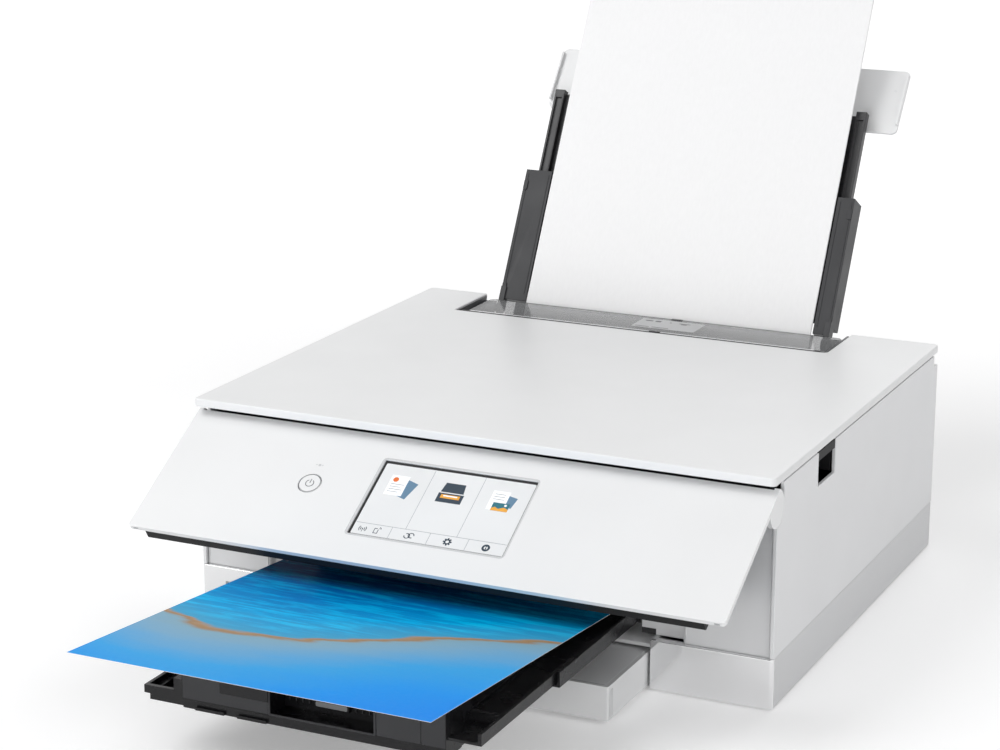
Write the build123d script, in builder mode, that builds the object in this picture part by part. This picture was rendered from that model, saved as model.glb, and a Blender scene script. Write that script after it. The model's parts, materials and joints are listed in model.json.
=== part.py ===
from build123d import *
import os
from math import asin, cos, degrees, pi, radians, sin

os.makedirs("parts", exist_ok=True)

# Printer with a flatbed scanner on top. The pieces are laid out from the middle of the
# printer (X), the front edge of its lid (Y) and the table (Z), and are moved to the part's
# frame when they are written: its origin is the bottom centre of everything.

# Overall sizes
width = 373
depth = 319
lid_top = 139
half = width / 2

# Walls and clearances
wall = 2.5
thin = 1.5
gap = 0.4
fit = 0.05

# Lid and scanner
lid_thick = 5
lid_plate = 2.5
lid_corner = 3
lid_bottom = lid_top - lid_thick
notch_depth = 52.5
notch_front = depth - notch_depth
notch_left = -142.2
notch_right = 126.8
side_top = lid_bottom - 1
scanner_thick = 20
scanner_floor = side_top - scanner_thick
glass_thick = 1.7
glass_x = 152
glass_y = (28, 246)
scanner_front = 19
scanner_back = notch_front - 4.5

# Base
foot_height = 1
base_top = 31
front_face = 4.3
trim_thick = 3.4
fascia_face = 7.4
recess_face = 13.5

# Cassette
cassette_x = (-117, 111)
cassette_front = -52.8
cassette_length = 303
cassette_z = (2.5, 23)

# Output tray
tray_x = (-105.5, 101.5)
tray_front = -97
tray_length = 140
tray_floor = 37.5
rail_top = 46.5
extension_front = -190
block_depth = 30
block_x = (-78.2, 79.8)
block_top = 56.5

# Printed sheet, A4
sheet_size = (210, 297)
sheet_thick = 0.3
sheet_middle = -2
sheet_level = 57.2
sheet_bend = -28
sheet_slope = 5.3
eject_y = 41.5
roller_radius = 4.7

# Control panel, tilted open
panel_tilt = 58.8
panel_reach = 88.2
panel_width = width + 0.4
panel_thick = 3
panel_lip = 7.5
barrel_radius = 7
end_radius = 11.2
hinge_y = 4
hinge_z = lid_bottom - end_radius - 2.3
fascia_top = hinge_z - end_radius - 1.3
screen_x = (-49.5, 48.5)
screen_down = (11.1, 68)
button_x = -88.5
button_down = 36.7
button_radius = 6.9
light_down = 22.2

# Rear paper support, leaning back
lean = 28.3
support_y = depth - 1
support_z = lid_top + 0.5
support_x = (-131, 112.5)
support_rail = 9
lower_length = 93
upper_length = 157
support_axis_y = depth - 6.5
support_axis_z = lid_top - 8
stack_x = (-110.2, 99.8)
stack_thick = 1.2
stack_up = 247
stack_down = 50
stack_room = 0.8

pieces = {}


def block(x, y, z, mode=Mode.ADD):
    """A box between the low and high ends given along each axis."""
    with Locations(((x[0] + x[1]) / 2, (y[0] + y[1]) / 2, (z[0] + z[1]) / 2)):
        Box(x[1] - x[0], y[1] - y[0], z[1] - z[0], mode=mode)


def rod(radius, x, y, z, mode=Mode.ADD):
    """A round bar along X between two ends."""
    with Locations(Location(((x[0] + x[1]) / 2, y, z), (0, 90, 0))):
        Cylinder(radius, x[1] - x[0], mode=mode)


def profile(points, x, mode=Mode.ADD):
    """A prism along X between two ends, with its outline given as Y and Z."""
    with BuildSketch(Plane.YZ.offset(x[0])) as outline:
        with BuildLine():
            Polyline(*points, close=True)
        make_face()
    extrude(outline.sketch, amount=x[1] - x[0], mode=mode)


def keep(builder, name):
    """Label a finished piece and hold it until all pieces are written."""
    builder.part.label = name
    pieces[name] = builder.part


# Base: a pan with a tunnel for the cassette, front trims and feet
tunnel_x = (cassette_x[0] - 1, cassette_x[1] + 1.5)
tunnel_top = 25
deck = 2.5
cassette_back = cassette_front + cassette_length
pan_front = front_face + trim_thick
ledge = 4

with BuildPart() as base_pan:
    block((-half, half), (pan_front, depth), (foot_height, base_top))
    corners = base_pan.edges().filter_by(Axis.Z).sort_by(Axis.Y)[-2:]
    fillet(corners, lid_corner)
    back_room = cassette_back + 6
    block(tunnel_x, (pan_front - 1, back_room), (foot_height - 1, tunnel_top), Mode.SUBTRACT)
    block(tunnel_x, (pan_front - 1, back_room), (tunnel_top + deck, base_top + 1), Mode.SUBTRACT)
    for side in ((-half + wall, tunnel_x[0] - wall), (tunnel_x[1] + wall, half - wall)):
        block(side, (pan_front + wall, depth - wall), (foot_height + wall, base_top + 1), Mode.SUBTRACT)
    rear_room = (back_room + wall, depth - wall)
    block((tunnel_x[0] - wall, tunnel_x[1] + wall), rear_room,
          (foot_height + wall, base_top + 1), Mode.SUBTRACT)
    ledge_z = (foot_height, cassette_z[0] - gap)
    for side in ((tunnel_x[0], tunnel_x[0] + ledge), (tunnel_x[1] - ledge, tunnel_x[1])):
        block(side, (pan_front, back_room), ledge_z)
keep(base_pan, "base_pan")

slot_x = (-170, -146)
slot_z = (19.5, 22)
with BuildPart() as trim_left:
    block((-half, tunnel_x[0]), (front_face, pan_front), (foot_height, base_top))
    edge = trim_left.edges().filter_by(Axis.Z).sort_by(Axis.X)[:2].sort_by(Axis.Y)[:1]
    fillet(edge, 2)
    block(slot_x, (front_face - 1, pan_front + 1), slot_z, Mode.SUBTRACT)
keep(trim_left, "base_trim_left")

with BuildPart() as trim_right:
    block((tunnel_x[1], half), (front_face, pan_front), (foot_height, base_top))
    edge = trim_right.edges().filter_by(Axis.Z).sort_by(Axis.X)[-2:].sort_by(Axis.Y)[:1]
    fillet(edge, 2)
keep(trim_right, "base_trim_right")

card_depth = 32
with BuildPart() as card_reader:
    reader_x = (slot_x[0] - 2, slot_x[1] + 2)
    reader_z = (slot_z[0] - 2, slot_z[1] + 3)
    block(reader_x, (pan_front + wall, pan_front + wall + card_depth), reader_z)
    block(slot_x, (pan_front, pan_front + wall + card_depth - 2), slot_z, Mode.SUBTRACT)
keep(card_reader, "card_reader")

foot_radius = 8
with BuildPart() as feet:
    foot_x = half - 16
    for x in (-foot_x, foot_x):
        for y in (pan_front + 14, depth - 18):
            with Locations((x, y, foot_height / 2)):
                Cylinder(foot_radius, foot_height)
keep(feet, "feet")

# Side covers, with a round seat for the panel's barrel and a finger notch
finger_y = (74.7, 105.8)
finger_z = scanner_floor - 0.5
rear_top = side_top - 7.5
tab_bottom = side_top - 5.5
side_front = fascia_face - 2
lid_swing_room = 9

for outer, inner, name in (
    (-half, -half + wall, "side_cover_left"),
    (half, half - wall, "side_cover_right"),
):
    across = (min(outer, inner), max(outer, inner))
    through = (across[0] - 1, across[1] + 1)
    with BuildPart() as side_cover:
        block(across, (side_front, depth), (base_top, side_top))
        rear = side_cover.edges().filter_by(Axis.Z).sort_by(Axis.Y)[-2:]
        fillet(rear.sort_by(Axis.X)[0 if outer < 0 else -1], 1.5)
        rod(end_radius + gap, through, hinge_y, hinge_z, Mode.SUBTRACT)
        block(through, (hinge_y - end_radius, hinge_y + end_radius + gap),
              (hinge_z, side_top + 1), Mode.SUBTRACT)
        block(through, finger_y, (finger_z, side_top + 1), Mode.SUBTRACT)
        block(through, (depth - lid_swing_room, depth + 1), (rear_top, side_top + 1), Mode.SUBTRACT)
    keep(side_cover, name)

inside = half - wall
inlet_x = (inside - 46, inside - 18)
inlet_z = (base_top + 8, base_top + 28)
port_x = (-inside + 30, -inside + 43)
port_z = (base_top + 20, base_top + 32)
vent_count = 14
vent_pitch = 9
vent_size = (4, 24)
vent_z = base_top + 20
with BuildPart() as rear_cover:
    block((-inside, inside), (depth - wall, depth), (base_top, rear_top))
    for hole_x, hole_z in ((inlet_x, inlet_z), (port_x, port_z)):
        block(hole_x, (depth - wall - 1, depth + 1), hole_z, Mode.SUBTRACT)
    with Locations((0, depth - wall / 2, vent_z)):
        with GridLocations(vent_pitch, 1, vent_count, 1):
            Box(vent_size[0], wall + 2, vent_size[1], mode=Mode.SUBTRACT)
keep(rear_cover, "rear_cover")

# Front fascias, recessed beside the output slot
mouth_left = tray_x[0] - 2
mouth_right = tray_x[1] + 2
side_inside = half - wall - gap
fascia_left_step = -139.5
fascia_right_step = 131.1
fascia_thick = 3

for name, outer, step, inner in (
    ("front_fascia_left", -side_inside, fascia_left_step, mouth_left),
    ("front_fascia_right", side_inside, fascia_right_step, mouth_right),
):
    with BuildPart() as fascia:
        face_x = (min(outer, step), max(outer, step))
        recess_x = (min(step, inner), max(step, inner))
        foot = base_top
        block(face_x, (fascia_face, recess_face + fascia_thick), (foot, fascia_top))
        front = fascia.edges().filter_by(Axis.Z).sort_by(Axis.Y)[:2]
        fillet(front.sort_by(Axis.X)[-1 if outer < 0 else 0], 2.5)
        hollow = (face_x[0] + fascia_thick, face_x[1] - fascia_thick)
        block(hollow, (fascia_face + fascia_thick, recess_face + fascia_thick + 1),
              (foot - 1, fascia_top - fascia_thick), Mode.SUBTRACT)
        block(recess_x, (recess_face, recess_face + fascia_thick), (foot + 4, fascia_top))
    keep(fascia, name)

# Inner frame: side plates, floor, front beam, mouth of the output slot and hinge lugs
plate_thick = 3
plate_outer = half - wall - 9
plate_x = (plate_outer - plate_thick, plate_outer)
plate_top = scanner_floor - 2
floor_z = (base_top, base_top + 2)
frame_front = recess_face + fascia_thick
frame_back = depth - wall - gap
beam_z = (sheet_level + 8.8, plate_top - 1)
beam_y = (26, 29)
mouth_wall = 1.5
mouth_top = sheet_level + 6.8
mouth_low = sheet_level + 1.2
mouth_back = 196
module = 1
feed_teeth = 26
idler_teeth = 28
pinion_teeth = 12
gear_slack = 0.1
gear_pitch = module * (feed_teeth + idler_teeth) / 2 + gear_slack
feed_y = eject_y + 2 * gear_pitch
gear_thick = 5
gear_x = (-plate_x[0] + 6, -plate_x[0] + 6 + gear_thick)
idler_radius = 2.5
star_radius = 4
star_shaft = 1
star_z = sheet_level + sheet_thick + gap + star_radius
roller_z = sheet_level - gap - roller_radius
shaft_radius = 3
hinge_line_y = depth - 3.5
hinge_line_z = side_top
lug_radius = 2.8
lug_pin = 1.5
panel_ear_radius = 3.7
axle_radius = 2

with BuildPart() as inner_frame:
    for side in (-1, 1):
        x = (min(side * plate_x[0], side * plate_x[1]), max(side * plate_x[0], side * plate_x[1]))
        block(x, (frame_front, frame_back), (floor_z[0], plate_top))
        block(x, (hinge_line_y - lug_radius, frame_back), (plate_top, hinge_line_z))
        rod(lug_radius, x, hinge_line_y, hinge_line_z)
        block(x, (hinge_y, frame_front), (hinge_z - panel_ear_radius, hinge_z - 0.5))
        block(x, (frame_front, scanner_front - 0.5), (plate_top, hinge_z - 0.5))
        rod(panel_ear_radius, x, hinge_y, hinge_z)
        rod(axle_radius + fit, (x[0] - 1, x[1] + 1), hinge_y, hinge_z, Mode.SUBTRACT)
        rod(lug_pin + fit, (x[0] - 1, x[1] + 1), hinge_line_y, hinge_line_z, Mode.SUBTRACT)
    inside_x = (-plate_x[0], plate_x[0])
    block((-plate_x[0], mouth_left), (frame_front, frame_back), floor_z)
    block((mouth_right, plate_x[0]), (frame_front, frame_back), floor_z)
    block((mouth_left, mouth_right), (mouth_back, frame_back), floor_z)
    block(inside_x, beam_y, beam_z)
    for wall_x in ((mouth_left - mouth_wall, mouth_left), (mouth_right, mouth_right + mouth_wall)):
        block(wall_x, (frame_front, mouth_back), (floor_z[0], mouth_low))
        block(wall_x, (frame_front, eject_y + 5), (mouth_low, mouth_top))
        rod(star_shaft + fit, (wall_x[0] - 1, wall_x[1] + 1), eject_y, star_z, Mode.SUBTRACT)
    for y in (eject_y, feed_y):
        through = (-plate_x[1] - 1, mouth_right + mouth_wall + 1)
        rod(shaft_radius + fit, through, y, roller_z, Mode.SUBTRACT)
    rod(idler_radius, (-plate_x[0], gear_x[1] + 1), eject_y + gear_pitch, roller_z)
    for runner in ((mouth_left, tray_x[0] + 2), (tray_x[1] - 2, mouth_right)):
        block(runner, (frame_front, mouth_back), (tray_floor - gap - 1.5, tray_floor - gap))
    block((mouth_right, tunnel_x[1]), (recess_face, frame_front), (base_top, base_top + 4 - gap))
keep(inner_frame, "inner_frame")

# Paper feed: rollers on shafts through the mouth's walls, with a train of three gears
shaft_ends = (-plate_x[1], mouth_right + mouth_wall)


def roller(sleeve_radius, y, z, sleeves, sleeve_length):
    """A steel shaft along X with rubber sleeves spread along it."""
    rod(shaft_radius, shaft_ends, y, z)
    pitch = (mouth_right - mouth_left - 24) / sleeves
    for i in range(sleeves):
        middle = (mouth_left + mouth_right) / 2 + (i - (sleeves - 1) / 2) * pitch
        rod(sleeve_radius, (middle - sleeve_length / 2, middle + sleeve_length / 2), y, z)


def spur_gear(teeth, width_x, y, z, turn, bore):
    """A spur gear along X: a round blank with straight flanked teeth."""
    root = module * (teeth / 2 - 1.15)
    tip = module * (teeth / 2 + 0.85)
    plane = Plane(origin=(width_x[0], y, z), x_dir=(0, 1, 0), z_dir=(1, 0, 0))
    with BuildSketch(plane) as face:
        Circle(root)
        with PolarLocations((root + tip - 0.4) / 2, teeth, start_angle=turn):
            Trapezoid(1.44, tip - root + 0.4, 79, rotation=-90)
        Circle(bore, mode=Mode.SUBTRACT)
    extrude(face.sketch, amount=width_x[1] - width_x[0])


with BuildPart() as eject_roller:
    roller(roller_radius, eject_y, roller_z, 8, 9)
keep(eject_roller, "eject_roller")

with BuildPart() as feed_roller:
    roller(roller_radius, feed_y, roller_z, 1, 190)
keep(feed_roller, "feed_roller")

with BuildPart() as eject_gear:
    spur_gear(feed_teeth, gear_x, eject_y, roller_z, 0, shaft_radius)
keep(eject_gear, "eject_gear")

with BuildPart() as feed_gear:
    spur_gear(feed_teeth, gear_x, feed_y, roller_z, 0, shaft_radius)
keep(feed_gear, "feed_gear")

# The idler turns on a pin in the left side plate, half way between the two shafts.
with BuildPart() as idler_gear:
    spur_gear(idler_teeth, gear_x, eject_y + gear_pitch, roller_z, 180 / idler_teeth, idler_radius + fit)
keep(idler_gear, "idler_gear")

# The feed motor stands on the left side plate, above the feed gear, with a pinion on its shaft.
pinion_z = roller_z + module * (feed_teeth + pinion_teeth) / 2 + gear_slack
pinion_bore = 1.5
with BuildPart() as motor_pinion:
    spur_gear(pinion_teeth, gear_x, feed_y, pinion_z, 90, pinion_bore + fit)
keep(motor_pinion, "motor_pinion")

motor_radius = 13
with BuildPart() as feed_motor:
    flange = (gear_x[1] + 0.8, gear_x[1] + 2.3)
    rod(motor_radius, (flange[1], gear_x[1] + 12), feed_y, pinion_z)
    rod(pinion_bore, (gear_x[0], flange[1]), feed_y, pinion_z)
    block(flange, (feed_y - 19, feed_y + 19), (pinion_z - 8, pinion_z + 8))
    for y in (feed_y - 19, feed_y + 17):
        block((-plate_x[0], flange[0]), (y, y + 2), (pinion_z - 4, pinion_z + 8))
keep(feed_motor, "feed_motor")

with BuildPart() as star_wheels:
    rod(star_shaft, (mouth_left - mouth_wall, mouth_right + mouth_wall), eject_y, star_z)
    for i in range(8):
        middle = (mouth_left + mouth_right) / 2 + (i - 3.5) * (mouth_right - mouth_left - 24) / 8
        rod(star_radius, (middle - 1, middle + 1), eject_y, star_z)
keep(star_wheels, "star_wheels")

platen_y = (52, 86)
platen_x = (mouth_left, mouth_right)
with BuildPart() as platen:
    block(platen_x, platen_y, (rail_top + 1, sheet_level - 3))
    for i in range(15):
        middle = platen_x[0] + 12 + i * (platen_x[1] - platen_x[0] - 24) / 14
        block((middle - 0.8, middle + 0.8), (platen_y[0] + 2, platen_y[1] - 2),
              (sheet_level - 3, sheet_level - 1))
keep(platen, "platen")

# Print carriage on a steel rail, with its head and ink tanks, belt, motor and capping station
carriage_size = (74, 66, 45)
carriage_x = (plate_x[0] - 1 - carriage_size[0], plate_x[0] - 1)
carriage_y = (50, 50 + carriage_size[1])
carriage_z = (sheet_level + 3.8, sheet_level + 3.8 + carriage_size[2])
rail_x = (-plate_x[0] + 4, plate_x[0])
rail_y = carriage_y[1] + 5
rail_z = (carriage_z[0] + 2, carriage_z[1] + 1)
tanks = 5
tank_pitch = 13.8
head_inset = 12
belt_y = (carriage_y[1] + 1.2, carriage_y[1] + 3.2)
belt_middle = carriage_z[0] + 26
pulley_radius = 7
belt_low = belt_middle - pulley_radius
belt_thick = 1
motor_x = -plate_x[0] + 22
pulley_x = plate_x[0] - 12
motor_half = 12
motor_length = 26
motor_shaft = 1.5

with BuildPart() as carriage_rail:
    block(rail_x, (rail_y, rail_y + thin), rail_z)
    block(rail_x, (rail_y, rail_y + 16), (rail_z[0], rail_z[0] + thin))
    block(rail_x, (rail_y, rail_y + 12), (rail_z[1] - thin, rail_z[1]))
    with Locations(Location((motor_x, rail_y, belt_middle), (90, 0, 0))):
        Cylinder(motor_shaft + gap, 4 * thin, mode=Mode.SUBTRACT)
    with Locations(Location((pulley_x, (belt_y[0] + rail_y) / 2, belt_middle), (90, 0, 0))):
        Cylinder(motor_shaft, rail_y - belt_y[0])
    with Locations(Location((pulley_x, (belt_y[0] + belt_y[1]) / 2, belt_middle), (90, 0, 0))):
        Cylinder(pulley_radius - belt_thick - fit, belt_y[1] - belt_y[0])
keep(carriage_rail, "carriage_rail")

with BuildPart() as carriage:
    block(carriage_x, carriage_y, carriage_z)
    inner_x = (carriage_x[0] + thin, carriage_x[1] - thin)
    inner_y = (carriage_y[0] + thin, carriage_y[1] - thin)
    block(inner_x, inner_y, (carriage_z[0] + 2, carriage_z[1] + 1), Mode.SUBTRACT)
    front_opening = (carriage_y[0] - 1, carriage_y[1] - 20)
    block(inner_x, front_opening, (carriage_z[1] - 14, carriage_z[1] + 1), Mode.SUBTRACT)
    clamp_middle = (carriage_x[0] + carriage_x[1]) / 2
    clamp_x = (clamp_middle - 8, clamp_middle + 8)
    block(clamp_x, (carriage_y[1], belt_y[0]), (belt_low - 1, belt_low + 8))
    hook_top = rail_z[1] + 2.3
    block(carriage_x, (carriage_y[1] - thin, carriage_y[1]), (carriage_z[1] - 1, hook_top))
    block(carriage_x, (carriage_y[1] - thin, rail_y + 8), (rail_z[1] + 0.3, hook_top))
    head_x = (carriage_x[0] + head_inset, carriage_x[1] - head_inset)
    head_y = (carriage_y[0] + head_inset, carriage_y[1] - head_inset - 8)
    block(head_x, head_y, (carriage_z[0] - 1, carriage_z[0] + 3), Mode.SUBTRACT)
keep(carriage, "carriage")

with BuildPart() as print_head:
    head_z = (sheet_level + 1.8, carriage_z[0] + 5)
    block((head_x[0] + 1, head_x[1] - 1), (head_y[0] + 1, head_y[1] - 1), head_z)
keep(print_head, "print_head")

for i in range(tanks):
    left = inner_x[0] + 1 + i * tank_pitch
    with BuildPart() as ink_tank:
        tank = (left, left + tank_pitch - 0.8)
        tank_top = carriage_z[1] - 6
        block(tank, (inner_y[0] + 1, inner_y[1] - 1), (carriage_z[0] + 5, tank_top))
        block((tank[0] + 3, tank[1] - 3), (carriage_y[0] + 4, carriage_y[0] + 12), (tank_top, tank_top + 4))
    keep(ink_tank, f"ink_tank_{i + 1}")

with BuildPart() as carriage_motor:
    block((motor_x - motor_half, motor_x + motor_half), (rail_y + thin, rail_y + thin + motor_length),
          (belt_middle - motor_half - 3, belt_middle + motor_half + 1))
    with Locations(Location((motor_x, (belt_y[0] + rail_y + thin) / 2, belt_middle), (90, 0, 0))):
        Cylinder(motor_shaft, rail_y + thin - belt_y[0])
    with Locations(Location((motor_x, (belt_y[0] + belt_y[1]) / 2, belt_middle), (90, 0, 0))):
        Cylinder(pulley_radius - belt_thick - fit, belt_y[1] - belt_y[0])
keep(carriage_motor, "carriage_motor")

with BuildPart() as carriage_belt:
    with BuildSketch(Plane.XZ.offset(-belt_y[1])) as loop:
        with Locations(((motor_x + pulley_x) / 2, belt_middle)):
            SlotOverall(pulley_x - motor_x + 2 * pulley_radius, 2 * pulley_radius)
            SlotOverall(pulley_x - motor_x + 2 * pulley_radius - 2 * belt_thick,
                        2 * pulley_radius - 2 * belt_thick, mode=Mode.SUBTRACT)
    extrude(loop.sketch, amount=belt_y[1] - belt_y[0])
keep(carriage_belt, "carriage_belt")

with BuildPart() as capping_station:
    station_top = sheet_level - 2
    station_y = (carriage_y[0] + 4, carriage_y[1] - 8)
    block((carriage_x[0] + 8, carriage_x[1] - 8), station_y, (floor_z[1], station_top))
    cap_y = (carriage_y[0] + 16, carriage_y[1] - 24)
    cap_length = 18
    for i in range(2):
        cap_x = carriage_x[0] + 16 + i * (cap_length + 6)
        block((cap_x, cap_x + cap_length), cap_y, (station_top, station_top + 3.4))
        block((cap_x + thin, cap_x + cap_length - thin), (cap_y[0] + thin, cap_y[1] - thin),
              (station_top + 2, station_top + 4), Mode.SUBTRACT)
keep(capping_station, "capping_station")

# Electrics
board_thick = 1.6
board_y = (150, 262)
board_z = (base_top + 8, base_top + 73)
post = 6
chip_height = 2.2
chips = ((170, 60, 14), (200, 80, 18), (232, 56, 12))
with BuildPart() as main_board:
    board_x = (-plate_x[0] + 3, -plate_x[0] + 3 + board_thick)
    block(board_x, board_y, board_z)
    for y, z, size in chips:
        block((board_x[1], board_x[1] + chip_height), (y, y + size), (z, z + size))
    for z in (board_z[0], board_z[1] - post):
        for y in (board_y[0] + post, board_y[1] - 2 * post):
            block((-plate_x[0], board_x[0]), (y, y + post), (z, z + post))
keep(main_board, "main_board")

supply_size = (51, 94, 34)
supply_right = plate_x[0] - 7
supply_back = depth - 19
with BuildPart() as power_supply:
    block((supply_right - supply_size[0], supply_right), (supply_back - supply_size[1], supply_back),
          (floor_z[1], floor_z[1] + supply_size[2]))
keep(power_supply, "power_supply")

# Sockets sit in the rear cover's holes, a little behind its face.
socket_fit = 0.2
socket_face = depth - 0.5
socket_wall = 3
pin_radius = 1.6


def inset(span, amount):
    """The same span, shorter by an amount at both ends."""
    return (span[0] + amount, span[1] - amount)


with BuildPart() as power_inlet:
    block(inset(inlet_x, socket_fit), (depth - 16, socket_face), inset(inlet_z, socket_fit))
    block(inset(inlet_x, socket_wall), (depth - 13, depth + 1), inset(inlet_z, socket_wall), Mode.SUBTRACT)
    for x in inset(inlet_x, 9):
        with Locations(Location((x, depth - 8, sum(inlet_z) / 2), (90, 0, 0))):
            Cylinder(pin_radius, 12)
keep(power_inlet, "power_inlet")

with BuildPart() as usb_port:
    block(inset(port_x, socket_fit), (depth - 17, socket_face), inset(port_z, socket_fit))
    block(inset(port_x, thin), (depth - 12, depth + 1), inset(port_z, thin), Mode.SUBTRACT)
    block(inset(port_x, 4), (depth - 13, depth - 2), inset(port_z, 4.5))
keep(usb_port, "usb_port")

screw_radius = 3.2
frame_screw_x = plate_x[0] - screw_radius - gap
with BuildPart() as screws:
    for x in (-frame_screw_x, frame_screw_x):
        for y in (140, depth - 39):
            with Locations((x, y, floor_z[1] + 1)):
                Cylinder(screw_radius, 2)
    for x in (-150, -60, 60, 150):
        with Locations(Location((x, depth - wall - 0.9, rear_top - 12), (90, 0, 0))):
            Cylinder(screw_radius, 1.8)
keep(screws, "screws")

# Feed recess behind the lid: a tub with the paper's chute under it, and a pickup roller
tub_x = (notch_left + gap, notch_right - gap)
tub_front = notch_front + gap
tub_z = (lid_top - 39, lid_top - 0.6)
slope = radians(lean)
chute_back = 1.2


def on_lean(along, off):
    """Y and Z of a point up the paper's plane and in front of it."""
    y = support_y + along * sin(slope) - off * cos(slope)
    z = support_z + along * cos(slope) + off * sin(slope)
    return (y, z)


slot_axis_y = notch_front + 3.9
slot_axis_z = lid_top - 2.2
slot_pin = 1.2
pickup_radius = 8
pickup_y, pickup_z = on_lean(-stack_down + 8, stack_thick + 0.6 + pickup_radius)

boss = 6
chute = (-78, -4)
floor_back = mouth_back + 18
floor_top = sheet_level - 2.5

with BuildPart() as feed_recess:
    for side in ((tub_x[0], tub_x[0] + thin), (tub_x[1] - thin, tub_x[1])):
        block(side, (tub_front, depth - 3), tub_z)
    block(tub_x, (tub_front, tub_front + thin), tub_z)
    front_corners = feed_recess.edges().filter_by(Axis.Z).group_by(Axis.Y)[0]
    fillet(front_corners, lid_corner)
    rod(slot_pin + fit, (tub_x[0] - 1, tub_x[1] + 1), slot_axis_y, slot_axis_z, Mode.SUBTRACT)
    for x in ((tub_x[0] + thin, support_x[0] - 1), (support_x[1] + 1, tub_x[1] - thin)):
        rod(boss, x, support_axis_y, support_axis_z - 1.5)
        rod(axle_radius + fit, (x[0] - 4, x[1] + 4), support_axis_y, support_axis_z, Mode.SUBTRACT)
    low = on_lean(chute[0], -chute_back)
    high = on_lean(chute[1], -chute_back)
    low_out = on_lean(chute[0], -chute_back - thin)
    high_out = on_lean(chute[1], -chute_back - thin)
    profile((low, high, high_out, low_out), tub_x)
    rail_room = support_rail + 3
    for x in ((tub_x[0] - 1, support_x[0] + rail_room), (support_x[1] - rail_room, tub_x[1] + 1)):
        profile((on_lean(-14, 2), on_lean(2, 2), on_lean(2, -8), on_lean(-14, -8)), x, Mode.SUBTRACT)
    rod(shaft_radius + fit, (tub_x[0] - 1, tub_x[1] + 1), pickup_y, pickup_z, Mode.SUBTRACT)
    floor_front = feed_y + 7
    profile((low, low_out, (floor_back, floor_top - thin), (floor_front, floor_top - thin),
             (floor_front, floor_top), (floor_back + 2, floor_top)), platen_x)
keep(feed_recess, "feed_recess")

with BuildPart() as pickup_roller:
    rod(shaft_radius, (tub_x[0] - 1, tub_x[1] + 1), pickup_y, pickup_z)
    for middle in (-32, 22):
        rod(pickup_radius, (middle - 12, middle + 12), pickup_y, pickup_z)
keep(pickup_roller, "pickup_roller")

# Scanner unit: a housing with a glass, arms to its rear hinge and a bar that travels under the glass
house_half = half - wall - 0.8
house_wall = 2.5
window_ledge = 3
arm_z = (side_top - 15, side_top - 4)
arm_end = depth - 10
cover_ear = 3.2
cover_pin = 1.5
cover_hinges = (notch_left - 14.8, notch_right + 23.2)
ear_half = 7
ear_thick = 3.5
grip_wall = 2
grip_inside = half - 15.5

with BuildPart() as scanner_housing:
    block((-house_half, house_half), (scanner_front, scanner_back), (scanner_floor, side_top))
    corners = scanner_housing.edges().filter_by(Axis.Z)
    fillet(corners, 2)
    block((-house_half + house_wall, house_half - house_wall),
          (scanner_front + house_wall, scanner_back - house_wall),
          (scanner_floor + house_wall, side_top - house_wall), Mode.SUBTRACT)
    for side in (-1, 1):
        grip = (finger_y[0] - grip_wall, finger_y[1] + grip_wall)
        cup = sorted((side * (grip_inside - grip_wall), side * house_half))
        block(cup, grip, (scanner_floor, tab_bottom + grip_wall))
        block(sorted((side * grip_inside, side * (house_half + 1))), finger_y,
              (scanner_floor - 1, tab_bottom), Mode.SUBTRACT)
    block((-glass_x + window_ledge, glass_x - window_ledge),
          (glass_y[0] + window_ledge, glass_y[1] - window_ledge), (side_top - 3, side_top + 1), Mode.SUBTRACT)
    block((-glass_x, glass_x), glass_y, (side_top - glass_thick, side_top + 1), Mode.SUBTRACT)
    for side in (-1, 1):
        tab = sorted((side * house_half, side * (half - 0.5)))
        block(tab, (finger_y[0] + 0.5, finger_y[1] - 0.5), (tab_bottom, side_top))
    arms = ((-plate_x[0] + gap, notch_left - 3), (notch_right + 3, plate_x[0] - gap))
    for arm, side in zip(arms, (-1, 1)):
        block(arm, (scanner_back - 1, arm_end), arm_z)
        outer = side * (plate_x[0] - gap)
        lug = sorted((outer, outer - side * 4))
        block(lug, (arm_end - 6, hinge_line_y), (arm_z[1] - 1, hinge_line_z))
        rod(lug_radius, lug, hinge_line_y, hinge_line_z)
        rod(lug_pin, sorted((outer - side, side * plate_x[1])), hinge_line_y, hinge_line_z)
    for middle in cover_hinges:
        left_ear = (middle - ear_half, middle - ear_half + ear_thick)
        right_ear = (middle + ear_half - ear_thick, middle + ear_half)
        for ear in (left_ear, right_ear):
            block(ear, (arm_end - 1, hinge_line_y), (rear_top + 0.3, hinge_line_z))
            block(ear, (arm_end - 4, arm_end), (arm_z[1] - 1, hinge_line_z))
            rod(cover_ear, ear, hinge_line_y, hinge_line_z)
            rod(cover_pin + fit, (ear[0] - 1, ear[1] + 1), hinge_line_y, hinge_line_z, Mode.SUBTRACT)
keep(scanner_housing, "scanner_housing")

with BuildPart() as platen_glass:
    block((-glass_x, glass_x), glass_y, (side_top - glass_thick, side_top))
keep(platen_glass, "platen_glass")

bar_half = 9
scan_home = house_half - house_wall - bar_half - 14
scan_rod_radius = 2.5
rod_z = scanner_floor + house_wall + 5
glass_middle = (glass_y[0] + glass_y[1]) / 2
with BuildPart() as scan_rail:
    rod(scan_rod_radius, (-house_half + house_wall, house_half - house_wall), glass_middle, rod_z)
keep(scan_rail, "scan_rail")

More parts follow.
